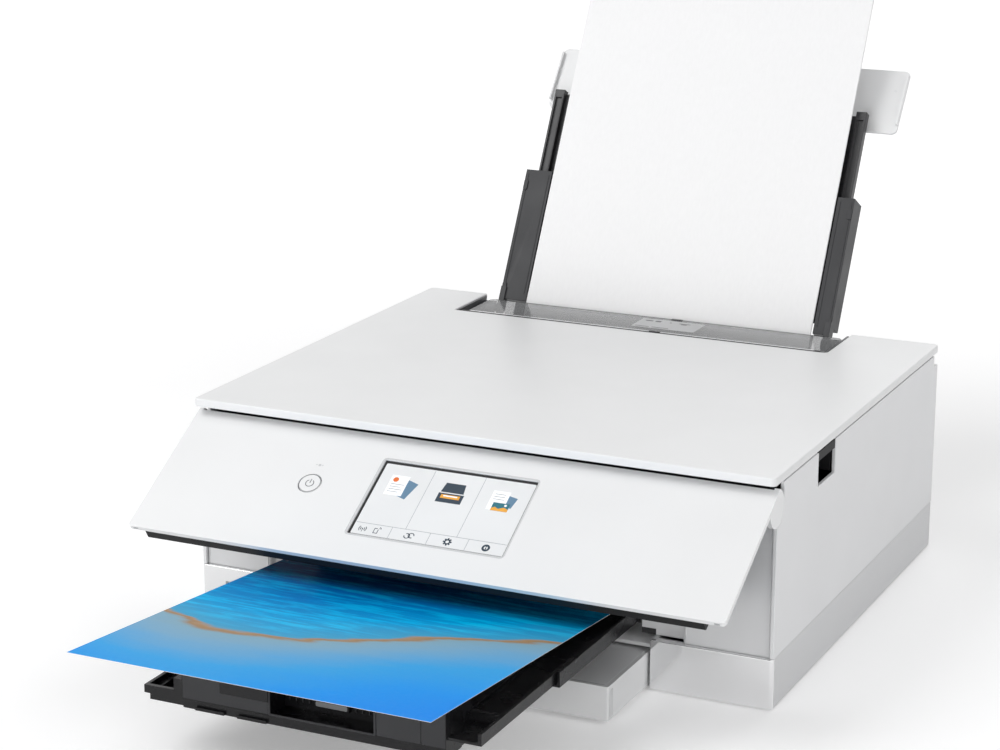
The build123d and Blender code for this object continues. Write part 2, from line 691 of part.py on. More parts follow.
with BuildPart() as scan_bar:
    bar_x = (scan_home - bar_half, scan_home + bar_half)
    bar_top = side_top - house_wall - 1
    block(bar_x, inset(glass_y, 1), (rod_z - 2.4, bar_top))
    rod(scan_rod_radius + gap, (bar_x[0] - 1, bar_x[1] + 1), glass_middle, rod_z, Mode.SUBTRACT)
    block((scan_home - 2, scan_home + 2), inset(glass_y, 4), (bar_top - 1, side_top), Mode.SUBTRACT)
keep(scan_bar, "scan_bar")

# Document cover: a thin shell with a notch round the feed slot, and its white pressure pad
with BuildPart() as document_cover:
    block((-half, half), (0, depth), (lid_bottom, lid_top))
    fillet(document_cover.edges().filter_by(Axis.Z), lid_corner)
    block((notch_left, notch_right), (notch_front, depth + 1), (lid_bottom - 1, lid_top + 1), Mode.SUBTRACT)
    vertical = document_cover.edges().filter_by(Axis.Z)
    notch_corners = vertical.filter_by_position(Axis.Y, notch_front - 0.1, notch_front + 0.1)
    fillet(notch_corners, lid_corner)
    fillet(document_cover.faces().sort_by(Axis.Z)[-1].edges(), 1)
    rim = 2
    hollow_z = (lid_bottom - 1, lid_top - lid_plate)
    block((-half + rim, half - rim), (rim, notch_front - rim), hollow_z, Mode.SUBTRACT)
    for bay in ((-half + rim, notch_left - rim), (notch_right + rim, half - rim)):
        block(bay, (notch_front - rim - 1, depth - rim), hollow_z, Mode.SUBTRACT)
    bays = [(middle - ear_half - 1, middle + ear_half + 1) for middle in cover_hinges]
    bays += [(-plate_x[1] - 1, -plate_x[0] + 6), (plate_x[0] - 6, plate_x[1] + 1)]
    for bay in bays:
        block(bay, (arm_end - 5, depth + 1), hollow_z, Mode.SUBTRACT)
    for middle in cover_hinges:
        knuckle = inset((middle - ear_half, middle + ear_half), ear_thick + 0.2)
        block(knuckle, (hinge_line_y - lug_radius, hinge_line_y + lug_radius), (hinge_line_z, hollow_z[1]))
        rod(lug_radius, knuckle, hinge_line_y, hinge_line_z)
        rod(cover_pin, (middle - ear_half, middle + ear_half), hinge_line_y, hinge_line_z)
keep(document_cover, "document_cover")

with BuildPart() as pressure_pad:
    block(inset((-glass_x, glass_x), 3), inset(glass_y, 3), (side_top + 0.3, lid_top - lid_plate))
    fillet(pressure_pad.edges().filter_by(Axis.Z), 3)
keep(pressure_pad, "pressure_pad")

# Feed slot cover: smoked plastic that closes the recess in front of the paper
slot_cover_x = (-133.5, 124.5)
slot_cover_back = depth - 10.9
slot_cover_z = (lid_top - 2.6, lid_top - 0.6)
with BuildPart() as feed_slot_cover:
    block(slot_cover_x, (slot_axis_y, slot_cover_back), slot_cover_z)
    fillet(feed_slot_cover.edges().filter_by(Axis.Z).sort_by(Axis.Y)[-2:], 4)
    rod(1.6, slot_cover_x, slot_axis_y, slot_axis_z)
    rod(slot_pin, (tub_x[0] + 0.2, tub_x[1] - 0.2), slot_axis_y, slot_axis_z)
keep(feed_slot_cover, "feed_slot_cover")

# Rear paper support: a lower frame on pins in the recess, a telescoping upper frame and its cover
support = Plane(origin=(0, support_y, support_z), x_dir=(1, 0, 0), z_dir=(0, -cos(slope), sin(slope)))
to_axis = (support_axis_y - support_y, support_axis_z - support_z)
axis_along = to_axis[0] * sin(slope) + to_axis[1] * cos(slope)
axis_off = -to_axis[0] * cos(slope) + to_axis[1] * sin(slope)
rail_front = 1
rail_back = -16
rail_toe = -3
shell = 1.4
upper_out = 5.5
upper_rail = 7.5
upper_front = -7
upper_back = -13
upper_start = 60
knuckle_radius = 2.4

with BuildPart(support) as lower_support:
    left_rail = (support_x[0], stack_x[0] - stack_room)
    right_rail = (stack_x[1] + stack_room, support_x[1])
    for rail, slide_x in (
        (left_rail, (left_rail[0] + shell + 1, left_rail[1] + 1)),
        (right_rail, (right_rail[0] - 1, right_rail[1] - shell - 1)),
    ):
        block(rail, (3, lower_length), (rail_back, rail_front))
        block(rail, (rail_toe, 4), (upper_front + 1, rail_front))
        block(slide_x, (4, lower_length + 1), (upper_back - gap, upper_front + gap), Mode.SUBTRACT)
        block(slide_x, (12, lower_length - 3), (upper_front + 2.5, rail_front - 2), Mode.SUBTRACT)
    back_x = (support_x[0] + support_rail - 1, support_x[1] - support_rail + 1)
    block(back_x, (8, lower_length - 5), (rail_back, rail_back + 2))
    block(back_x, (8, 14), (rail_back, upper_back - gap - 0.2))
    for ear in ((support_x[0], support_x[0] + 4), (support_x[1] - 4, support_x[1])):
        ear_plane = Plane(origin=(ear[0], support_axis_y, support_axis_z), x_dir=(0, sin(slope), cos(slope)),
                          z_dir=(1, 0, 0))
        with BuildSketch(ear_plane) as web:
            Circle(axle_radius + 2)
            with Locations(((6 - axis_along) / 2, -thin)):
                Rectangle(6 - axis_along, 6)
        extrude(web.sketch, amount=ear[1] - ear[0])
    for pin in ((support_x[0] - 8, support_x[0] + 2), (support_x[1] - 2, support_x[1] + 8)):
        with Locations(Location(((pin[0] + pin[1]) / 2, axis_along, axis_off), (0, 90, 0))):
            Cylinder(axle_radius, pin[1] - pin[0])
keep(lower_support, "lower_support")

with BuildPart(support) as upper_support:
    upper_x = (support_x[0] + upper_out, support_x[1] - upper_out)
    for left in (upper_x[0], upper_x[1] - upper_rail):
        rail = (left, left + upper_rail)
        block(rail, (upper_start, upper_length), (upper_back, upper_front))
        groove_along = (upper_start + 30, upper_length - 6)
        block(inset(rail, shell), groove_along, (upper_front - 1.5, upper_front + 1), Mode.SUBTRACT)
    block(inset(upper_x, 7), (upper_start + 20, upper_length - 2), (upper_back, upper_back + 1.8))
    hinge_along = upper_length - 6
    for knuckle in ((upper_x[0] + 20, upper_x[0] + 30), (upper_x[1] - 30, upper_x[1] - 20)):
        knuckle_along = (hinge_along - knuckle_radius, hinge_along + knuckle_radius)
        block(knuckle, knuckle_along, (upper_back - 2.6, upper_back))
        middle = (knuckle[0] + knuckle[1]) / 2
        with Locations(Location((middle, hinge_along, upper_back - 2.6), (0, 90, 0))):
            Cylinder(knuckle_radius, knuckle[1] - knuckle[0])
            Cylinder(slot_pin + fit, knuckle[1] - knuckle[0] + 2, mode=Mode.SUBTRACT)
keep(upper_support, "upper_support")

# The cover leans back a little more than the frame, on two pins behind the frame's top
cover_extra = 10
cover_x = (-134, 126.5)
cover_length = 49
cover_thick = 2
cover_off = upper_back - 2.6
tilt = slope + radians(cover_extra)
axis_point = on_lean(hinge_along, cover_off)
cover_normal = (0, -cos(tilt), sin(tilt))
cover_plane = Plane(origin=(0, axis_point[0], axis_point[1]), x_dir=(1, 0, 0), z_dir=cover_normal)
with BuildPart(cover_plane) as rear_tray_cover:
    block(cover_x, (-4, cover_length - 4), (-3 - cover_thick, -3))
    fillet(rear_tray_cover.edges().filter_by(lambda e: abs(e.length - cover_thick) < 0.01), 4)
    for side in (cover_x[0], cover_x[1] - 1.5):
        block((side, side + 1.5), (2, cover_length - 8), (-3, 0))
    for knuckle in ((upper_x[0] + 16, upper_x[0] + 19.6), (upper_x[1] - 19.6, upper_x[1] - 16)):
        block(knuckle, (-knuckle_radius, knuckle_radius), (-3.5, 0))
        with Locations(Location(((knuckle[0] + knuckle[1]) / 2, 0, 0), (0, 90, 0))):
            Cylinder(knuckle_radius, knuckle[1] - knuckle[0])
    for pin in ((upper_x[0] + 17, upper_x[0] + 30), (upper_x[1] - 30, upper_x[1] - 17)):
        with Locations(Location(((pin[0] + pin[1]) / 2, 0, 0), (0, 90, 0))):
            Cylinder(slot_pin, pin[1] - pin[0])
keep(rear_tray_cover, "rear_tray_cover")

with BuildPart(support) as paper_stack:
    block(stack_x, (-stack_down, stack_up), (0, stack_thick))
keep(paper_stack, "paper_stack")

# Control panel: white front with its barrel, black back, screen, light and a sprung button
panel_angle = radians(panel_tilt)
face_point = (hinge_y - barrel_radius * cos(panel_angle), hinge_z + barrel_radius * sin(panel_angle))
panel = Plane(origin=(0, face_point[0], face_point[1]), x_dir=(1, 0, 0),
              z_dir=(0, -cos(panel_angle), sin(panel_angle)))
panel_half = panel_width / 2
end_thick = wall + 0.8
back_thick = 7
back_edge = 0.3
back_x = (-panel_half + 10.7, panel_half - 12.7)
button_hole = button_radius + gap
light_radius = 0.9
latch_x = (-panel_half + 18.7, -panel_half + 74.7)
latch_down = (26, 7)
latch_height = 4


def panel_bar(radius, x, mode=Mode.ADD):
    """A round bar on the panel's hinge axis, in the panel's own frame."""
    with Locations(Location(((x[0] + x[1]) / 2, 0, -barrel_radius), (0, 90, 0))):
        Cylinder(radius, x[1] - x[0], mode=mode)


with BuildPart(panel) as panel_front:
    block((-panel_half, panel_half), (-panel_reach, panel_lip), (-panel_thick, 0))
    short_edges = panel_front.edges().filter_by(lambda e: abs(e.length - panel_thick) < 0.01)
    fillet(short_edges.sort_by(Axis.Z)[:2], 2.5)
    panel_bar(barrel_radius, (-panel_half, panel_half))
    panel_bar(barrel_radius - wall, (-panel_half + end_thick, panel_half - end_thick), Mode.SUBTRACT)
    for side in (-1, 1):
        ear = sorted((side * (plate_x[0] - 0.6), side * (plate_x[1] + 0.6)))
        ear_room = (-barrel_radius - 1, barrel_radius + 1)
        block(ear, ear_room, (-2 * barrel_radius - 1, -panel_thick), Mode.SUBTRACT)
        end = sorted((side * panel_half, side * (panel_half - end_thick)))
        panel_bar(end_radius, end)
    panel_bar(axle_radius, (-panel_half, panel_half))
    above = (-end_radius - 1, end_radius + 1)
    block((-panel_half - 1, panel_half + 1), above, (0, end_radius), Mode.SUBTRACT)
    block(screen_x, (-screen_down[1], -screen_down[0]), (-panel_thick - 1, 1), Mode.SUBTRACT)
    with Locations((button_x, -button_down, -panel_thick / 2)):
        Cylinder(button_hole, panel_thick + 2, mode=Mode.SUBTRACT)
    with Locations((button_x, -light_down, -panel_thick / 2)):
        Cylinder(light_radius, panel_thick + 2, mode=Mode.SUBTRACT)
    for corner in inset((-panel_half, panel_half), 5):
        nick = (corner - 1.5, corner + 1.5)
        block(nick, (-panel_reach - 1, -panel_reach + 1.2), (-panel_thick - 1, -1.2), Mode.SUBTRACT)
keep(panel_front, "panel_front")

stem_radius = 2
with BuildPart(panel) as panel_back:
    back_low = -panel_thick - back_thick
    block(back_x, (-panel_reach + back_edge, -barrel_radius - 3), (back_low, -panel_thick))
    low_edges = panel_back.edges().filter_by(Axis.X).sort_by(Axis.Z)[:1]
    chamfer(low_edges, 1.2)
    block(latch_x, (-panel_reach + latch_down[1], -panel_reach + latch_down[0]),
          (back_low - latch_height, -panel_thick - 1))
    with Locations((button_x, -button_down, -panel_thick - back_thick / 2)):
        Cylinder(stem_radius + gap, back_thick + 1, mode=Mode.SUBTRACT)
keep(panel_back, "panel_back")

with BuildPart(panel) as touch_screen:
    screen_room = inset((-screen_down[1], -screen_down[0]), 0.2)
    block(inset(screen_x, 0.2), screen_room, (-panel_thick, -0.5))
keep(touch_screen, "touch_screen")

with BuildPart(panel) as status_light:
    with Locations((button_x, -light_down, -panel_thick / 2)):
        Cylinder(light_radius, panel_thick)
keep(status_light, "status_light")

with BuildPart(panel) as power_button:
    with Locations((button_x, -button_down, -1)):
        Cylinder(button_radius, 2)
    with Locations((button_x, -button_down, -4.5)):
        Cylinder(stem_radius, 5)
keep(power_button, "power_button")

# Output tray and its extension, nested inside it, with a raised block at the front
tray_back = tray_front + tray_length
rail_width = 2
ext_x = (tray_x[0] + rail_width + gap, tray_x[1] - rail_width - gap)
floor_thick = 1.5
ext_floor = tray_floor + floor_thick + gap
ext_back = tray_front + 60
block_back = extension_front + block_depth

with BuildPart() as output_tray:
    block(tray_x, (tray_front, tray_back), (tray_floor, tray_floor + floor_thick))
    for rail in ((tray_x[0], tray_x[0] + rail_width), (tray_x[1] - rail_width, tray_x[1])):
        block(rail, (tray_front, tray_back), (tray_floor, rail_top))
    rib_count = 5
    rib_span = inset(tray_x, 30)
    for i in range(rib_count):
        rib = rib_span[0] + i * (rib_span[1] - rib_span[0]) / (rib_count - 1)
        block((rib - 1, rib + 1), (ext_back + 66, tray_back), (ext_floor - gap, ext_floor - gap + 2))
keep(output_tray, "output_tray")

pocket_z = (29.7, 37.6)
pocket_wall = 3
ext_rail_top = rail_top - 0.6
handle_x = (-23.5, 38)
handle_z = (pocket_z[0] + 4.3, 50)
handle_depth = 16
tab_x = (-54, handle_x[0] - 1)
tab_z = (42, 50)
stop_x = (handle_x[0] + 19, handle_x[0] + 40)
stop_z = (38, 42)
strip_z = (pocket_z[0] - 0.7, handle_z[0] + 0.1)
cheek = 6
rim_left = ext_x[0]
rim_z = pocket_z[1] - 4.6
rim_inset = 3.6
with BuildPart() as tray_extension:
    block(ext_x, (block_back - 1, ext_back), (ext_floor, ext_floor + floor_thick))
    for rail in ((ext_x[0], ext_x[0] + rail_width), (ext_x[1] - rail_width, ext_x[1])):
        block(rail, (block_back - 1, ext_back), (ext_floor, ext_rail_top))
    pocket_front = extension_front + 1.5
    pocket_y = (extension_front + 4, block_back - pocket_wall)
    block((rim_left, block_x[1]), (pocket_front, block_back), (rim_z, pocket_z[1]))
    block((rim_left + rim_inset, block_x[1]), (pocket_front, block_back), (pocket_z[0], rim_z))
    for left, low in ((rim_left + 2, rim_z + 1.5), (rim_left + rim_inset + 2, pocket_z[0] + 1.5)):
        block((left, block_x[0] - cheek), pocket_y, (low, pocket_z[1] + 1), Mode.SUBTRACT)
    block((ext_x[1] - rail_width, ext_x[1]), (pocket_front, block_back), (ext_floor, ext_rail_top))
    block((block_x[1] - 1, ext_x[1]), (pocket_front, block_back), (ext_floor, ext_floor + floor_thick))
    for wing, low in (((ext_x[0], block_x[0]), pocket_z[0]), ((block_x[1], ext_x[1]), ext_floor)):
        block(wing, (block_back - pocket_wall, block_back), (low, ext_rail_top))
    block((block_x[0] - cheek, block_x[0]), (pocket_front, block_back), (pocket_z[0], rail_top - 2))
    block(block_x, (extension_front, block_back), (handle_z[0], block_top))
    handle_back = extension_front + handle_depth
    block(handle_x, (extension_front - 1, handle_back), handle_z, Mode.SUBTRACT)
    block(stop_x, (handle_back - 3, handle_back), stop_z)
    hollow_y = (handle_back + 2, block_back - 2)
    block(inset(block_x, 2), hollow_y, (pocket_z[0] + 4, block_top - 2), Mode.SUBTRACT)
    block(tab_x, (extension_front - 1, extension_front), tab_z)
    block(block_x, (extension_front + 1, handle_back + 2), strip_z)
keep(tray_extension, "tray_extension")

# Cassette for paper below the trays, with three grip grooves on each side and a paper guide
cassette_cover_z = 2
cassette_floor = cassette_z[0] + 2
groove_z = (cassette_z[0] + 0.8, cassette_z[1] - 2.6)
groove_width = 0.8
groove_pitch = 1.8
with BuildPart() as cassette:
    block(cassette_x, (cassette_front, cassette_back), cassette_z)
    fillet(cassette.edges().filter_by(Axis.Z).sort_by(Axis.Y)[:2], 1.2)
    block(inset(cassette_x, wall), inset((cassette_front, cassette_back), wall),
          (cassette_floor, cassette_z[1] + 1), Mode.SUBTRACT)
    for outer in cassette_x:
        for i in range(3):
            groove_y = cassette_front + 2.6 + i * groove_pitch
            groove = (groove_y, groove_y + groove_width)
            block((outer - 0.7, outer + 0.7), groove, groove_z, Mode.SUBTRACT)
keep(cassette, "cassette")

with BuildPart() as cassette_cover:
    block(inset(cassette_x, wall), (cassette_front + wall, cassette_back - wall - 60),
          (cassette_z[1] - cassette_cover_z, cassette_z[1]))
keep(cassette_cover, "cassette_cover")

guide_y = cassette_front + wall + 1.3
guide_thick = 2
guide_foot = 26
with BuildPart() as length_guide:
    middle = (cassette_x[0] + cassette_x[1]) / 2
    guide_z = (cassette_floor, cassette_floor + 14)
    foot_z = (cassette_floor, cassette_floor + 2)
    block((middle - 30, middle + 30), (guide_y, guide_y + guide_thick), guide_z)
    block((middle - 12, middle + 12), (guide_y, guide_y + guide_foot), foot_z)
keep(length_guide, "cassette_length_guide")

# Printed sheet leaving the eject rollers: level inside, then sloping up to its front edge
sheet_angle = radians(sheet_slope)
sheet_end = eject_y + 2.5
level_run = sheet_end - sheet_bend
slope_run = sheet_size[1] - level_run
sheet_x = (sheet_middle - sheet_size[0] / 2, sheet_middle + sheet_size[0] / 2)
front_point = (sheet_bend - slope_run * cos(sheet_angle), sheet_level + slope_run * sin(sheet_angle))
with BuildPart() as printed_sheet:
    sheet_top = sheet_level + sheet_thick
    front_top = (front_point[0], front_point[1] + sheet_thick)
    upper = ((sheet_end, sheet_top), (sheet_bend, sheet_top), front_top)
    lower = (front_point, (sheet_bend, sheet_level), (sheet_end, sheet_level))
    profile(upper + lower, sheet_x)
keep(printed_sheet, "printed_sheet")

# Move every piece to the part's frame and write it
boxes = [piece.bounding_box() for piece in pieces.values()]
middle_of_all = [
    (min(box.min.X for box in boxes) + max(box.max.X for box in boxes)) / 2,
    (min(box.min.Y for box in boxes) + max(box.max.Y for box in boxes)) / 2,
]
to_frame = Location((-middle_of_all[0], -middle_of_all[1], -min(box.min.Z for box in boxes)))
for name, piece in pieces.items():
    placed = piece.moved(to_frame)
    placed.label = name
    export_step(placed, f"parts/{name}.step")
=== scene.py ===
import json
import math
import random

import bmesh
import bpy
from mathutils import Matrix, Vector


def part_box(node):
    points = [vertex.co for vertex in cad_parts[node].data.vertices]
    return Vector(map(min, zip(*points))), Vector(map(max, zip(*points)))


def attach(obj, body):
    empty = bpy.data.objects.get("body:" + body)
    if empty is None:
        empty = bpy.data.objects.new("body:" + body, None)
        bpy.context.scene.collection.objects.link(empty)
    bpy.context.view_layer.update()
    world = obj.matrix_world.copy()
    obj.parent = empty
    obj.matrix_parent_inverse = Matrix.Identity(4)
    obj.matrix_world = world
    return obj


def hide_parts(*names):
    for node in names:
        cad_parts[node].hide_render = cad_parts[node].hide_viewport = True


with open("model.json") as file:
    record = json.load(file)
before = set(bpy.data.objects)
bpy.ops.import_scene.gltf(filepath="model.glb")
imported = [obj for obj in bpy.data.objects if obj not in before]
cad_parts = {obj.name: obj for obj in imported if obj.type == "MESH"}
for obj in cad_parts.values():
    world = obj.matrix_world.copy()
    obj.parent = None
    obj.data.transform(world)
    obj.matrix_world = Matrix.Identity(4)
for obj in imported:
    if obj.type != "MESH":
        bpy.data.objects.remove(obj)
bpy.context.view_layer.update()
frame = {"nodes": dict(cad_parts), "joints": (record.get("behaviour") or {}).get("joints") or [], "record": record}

MM = 0.001
random.seed(7)

JOINTS = {joint["name"]: joint for joint in frame["joints"]}
BODY_OF = {node: body for body, nodes in frame["record"]["behaviour"]["bodies"].items() for node in nodes}


# Places that the frame gives
def lowest(node):
    return Vector(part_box(node)[0])


def highest(node):
    return Vector(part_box(node)[1])


LID_LOW, LID_HIGH = lowest("document_cover"), highest("document_cover")
LID_FRONT = LID_LOW.y
LID_TOP = LID_HIGH.z
BACK = LID_HIGH.y
SIDE = highest("side_cover_right").x


class Place:
    """A flat place on the object: a corner with a right, an up and an outward direction."""

    def __init__(self, origin, right, up):
        self.origin = Vector(origin)
        self.right = Vector(right).normalized()
        self.up = Vector(up).normalized()
        self.out = self.right.cross(self.up)

    def at(self, u, v, w=0.0):
        """The point u, v and w millimetres to the right, up and outwards."""
        return self.origin + (self.right * u + self.up * v + self.out * w) * MM


# The panel's face hangs from its hinge, and the paper leans back over the printer's rear edge.
PANEL_TILT = math.radians(58.8)
PANEL_BARREL = 7
PAPER_LEAN = math.radians(28.3)
SUPPORT_RISE = Vector((0, 0.0055, 0.0085))

panel_hinge = Vector(JOINTS["control_panel_hinge"]["pos_m"])
panel_hinge.x = 0
panel_up = Vector((0, math.sin(PANEL_TILT), math.cos(PANEL_TILT)))
panel_out = Vector((0, -math.cos(PANEL_TILT), math.sin(PANEL_TILT)))
PANEL = Place(panel_hinge + panel_out * PANEL_BARREL * MM, (1, 0, 0), panel_up)

support_hinge = Vector(JOINTS["rear_support_fold"]["pos_m"])
support_hinge.x = 0
paper_up = Vector((0, math.sin(PAPER_LEAN), math.cos(PAPER_LEAN)))
PAPER = Place(support_hinge + SUPPORT_RISE, (1, 0, 0), paper_up)

TOP = Place((0, LID_FRONT, LID_TOP), (1, 0, 0), (0, 1, 0))
RIGHT = Place((SIDE, LID_FRONT, 0), (0, 1, 0), (0, 0, 1))
LEFT = Place((-SIDE, LID_FRONT, 0), (0, -1, 0), (0, 0, 1))
REAR = Place((0, BACK, 0), (-1, 0, 0), (0, 0, 1))


def facing_front(y, z=0.0):
    """A place that faces the front, at y and z metres."""
    return Place((0, y, z), (1, 0, 0), (0, 0, 1))


# Materials
class Shader:
    """A node material with a short way to add and link nodes."""

    def __init__(self, name):
        self.material = bpy.data.materials.new(name)
        self.material.use_nodes = True
        self.nodes = self.material.node_tree.nodes
        self.links = self.material.node_tree.links
        self.nodes.clear()
        self.surface = self.add("ShaderNodeBsdfPrincipled")
        self.output = self.add("ShaderNodeOutputMaterial")
        self.link(self.surface, "BSDF", self.output, "Surface")
        self.place = self.add("ShaderNodeTexCoord")

    def add(self, kind, **values):
        node = self.nodes.new(kind)
        for key, value in values.items():
            setattr(node, key, value)
        return node

    def link(self, source, output, target, into):
        self.links.new(source.outputs[output], target.inputs[into])

    def set(self, **values):
        for key, value in values.items():
            self.surface.inputs[key.replace("_", " ")].default_value = value

    def noise(self, scale, detail=3.0, stretch=(1, 1, 1), roughness=0.5):
        mapping = self.add("ShaderNodeMapping")
        mapping.inputs["Scale"].default_value = stretch
        self.link(self.place, "Object", mapping, "Vector")
        noise = self.add("ShaderNodeTexNoise")
        noise.inputs["Scale"].default_value = scale
        noise.inputs["Detail"].default_value = detail
        noise.inputs["Roughness"].default_value = roughness
        self.link(mapping, "Vector", noise, "Vector")
        return noise

    def ramp(self, source, output, stops):
        ramp = self.add("ShaderNodeValToRGB")
        elements = ramp.color_ramp.elements
        while len(elements) < len(stops):
            elements.new(0.5)
        for element, (position, colour) in zip(elements, stops):
            element.position = position
            element.color = (*colour, 1)
        self.link(source, output, ramp, "Fac")
        return ramp

    def span(self, source, output, low, high):
        """Maps a value between 0.3 and 0.7 to the range low to high."""
        span = self.add("ShaderNodeMapRange")
        span.inputs["From Min"].default_value = 0.3
        span.inputs["From Max"].default_value = 0.7
        span.inputs["To Min"].default_value = low
        span.inputs["To Max"].default_value = high
        self.link(source, output, span, "Value")
        return span

    def between(self, source, output, low, high):
        """Maps the range low to high to 0 to 1."""
        span = self.add("ShaderNodeMapRange")
        span.inputs["From Min"].default_value = low
        span.inputs["From Max"].default_value = high
        self.link(source, output, span, "Value")
        return span

    def scaled(self, source, output, factor, added):
        """A value times factor plus added, which is a number or a node with its output."""
        total = self.add("ShaderNodeMath", operation="MULTIPLY_ADD")
        self.link(source, output, total, 0)
        total.inputs[1].default_value = factor
        if isinstance(added, tuple):
            self.link(*added, total, 2)
        else:
            total.inputs[2].default_value = added
        return total

    def bump(self, source, output, depth, strength=1.0):
        bump = self.add("ShaderNodeBump")
        bump.inputs["Strength"].default_value = strength
        bump.inputs["Distance"].default_value = depth
        self.link(source, output, bump, "Height")
        self.link(bump, "Normal", self.surface, "Normal")


def tinted(colour, factor):
    return tuple(max(0.0, min(1.0, channel * factor)) for channel in colour)


def plastic(name, colour, roughness, grain=1800, depth=0.00002, mottle=0.02, spread=0.04, specular=0.5):
    """Moulded plastic: faint clouds in the colour, fine grain and uneven gloss."""
    shader = Shader(name)
    clouds = shader.noise(14, 4)
    stops = ((0.3, tinted(colour, 1 - mottle)), (0.7, tinted(colour, 1 + mottle)))
    colours = shader.ramp(clouds, "Fac", stops)
    shader.link(colours, "Color", shader.surface, "Base Color")
    patches = shader.noise(45, 3)
    gloss = shader.span(patches, "Fac", roughness - spread, roughness + spread)
    shader.link(gloss, "Result", shader.surface, "Roughness")
    fine = shader.noise(grain, 2)
    shader.bump(fine, "Fac", depth)
    shader.set(Specular_IOR_Level=specular)
    return shader


def metal(name, colour, roughness):
    """Rolled steel: long fine streaks along X."""
    shader = Shader(name)
    streaks = shader.noise(900, 3, (0.03, 1, 1))
    stops = ((0.3, tinted(colour, 0.85)), (0.7, tinted(colour, 1.1)))
    colours = shader.ramp(streaks, "Fac", stops)
    shader.link(colours, "Color", shader.surface, "Base Color")
    gloss = shader.span(streaks, "Fac", roughness - 0.08, roughness + 0.08)
    shader.link(gloss, "Result", shader.surface, "Roughness")
    shader.bump(streaks, "Fac", 0.00001)
    shader.set(Metallic=1.0)
    return shader


def bright_trim(name, colour):
    """A mirror-bright coated trim with very faint clouds in its gloss."""
    shader = plastic(name, colour, 0.1, mottle=0.01, depth=0.000003, spread=0.03)
    shader.set(Metallic=0.8)
    return shader


DOT_PITCH = 0.0013
DOT_DEPTH = 0.00012


def dotted(name, colour):
    """White plastic with a fine diamond texture moulded into it, from two crossing waves, with painted shade in
    its hollows and a painted highlight on its tops.
    """
    shader = plastic(name, colour, 0.42, mottle=0.015)
    split = shader.add("ShaderNodeSeparateXYZ")
    shader.link(shader.place, "Object", split, "Vector")
    waves = 2 * math.pi / DOT_PITCH
    heights = []
    for sign in (1, -1):
        slope = shader.add("ShaderNodeMath", operation="MULTIPLY")
        shader.link(split, "Y", slope, 0)
        slope.inputs[1].default_value = sign
        both = shader.add("ShaderNodeMath", operation="ADD")
        shader.link(slope, "Value", both, 0)
        shader.link(split, "Z", both, 1)
        turn = shader.add("ShaderNodeMath", operation="MULTIPLY")
        shader.link(both, "Value", turn, 0)
        turn.inputs[1].default_value = waves
        wave = shader.add("ShaderNodeMath", operation="SINE")
        shader.link(turn, "Value", wave, 0)
        heights.append(wave)
    dots = shader.add("ShaderNodeMath", operation="MULTIPLY")
    shader.link(heights[0], "Value", dots, 0)
    shader.link(heights[1], "Value", dots, 1)
    shader.bump(dots, "Value", DOT_DEPTH, 0.8)
    half = shader.scaled(dots, "Value", 0.5, 0.5)
    # Painted shade and highlight: the colour follows the height, darker in the hollows and lighter on the tops.
    painted_dot_shading = shader.ramp(half, "Value", ((0.15, tinted(colour, 0.86)), (0.7, tinted(colour, 1.04))))
    shader.link(painted_dot_shading, "Color", shader.surface, "Base Color")
    return shader


def clear(name, colour, roughness, alpha):
    """Clear or smoked plastic and glass, with faint streaks from moulding."""
    shader = Shader(name)
    streaks = shader.noise(60, 3, (0.2, 1, 1))
    colours = shader.ramp(streaks, "Fac", ((0.3, tinted(colour, 0.92)), (0.7, tinted(colour, 1.08))))
    shader.link(colours, "Color", shader.surface, "Base Color")
    gloss = shader.span(streaks, "Fac", roughness, roughness + 0.05)
    shader.link(gloss, "Result", shader.surface, "Roughness")
    shader.set(Alpha=alpha, Specular_IOR_Level=0.6)
    return shader


def paper(name, colour, gloss):
    """Paper: soft fibres in colour and surface."""
    shader = Shader(name)
    fibres = shader.noise(700, 4, (1, 0.3, 0.3))
    stops = ((0.3, tinted(colour, 0.985)), (0.7, tinted(colour, 1.01)))
    colours = shader.ramp(fibres, "Fac", stops)
    shader.link(colours, "Color", shader.surface, "Base Color")
    rough = shader.span(fibres, "Fac", gloss - 0.03, gloss + 0.03)
    shader.link(rough, "Result", shader.surface, "Roughness")
    shader.bump(fibres, "Fac", 0.00001, 0.5)
    shader.set(Specular_IOR_Level=0.3)
    return shader


def lit(name, colour, strength):
    """A lit area of the screen, with very faint clouds."""
    shader = Shader(name)
    clouds = shader.noise(25, 2)
    stops = ((0.25, tinted(colour, 0.97)), (0.75, tinted(colour, 1.02)))
    colours = shader.ramp(clouds, "Fac", stops)
    shader.link(colours, "Color", shader.surface, "Emission Color")
    shader.link(colours, "Color", shader.surface, "Base Color")
    fine = shader.noise(4000, 1)
    gloss = shader.span(fine, "Fac", 0.1, 0.16)
    shader.link(gloss, "Result", shader.surface, "Roughness")
    shader.set(Emission_Strength=strength, Specular_IOR_Level=0.3)
    return shader


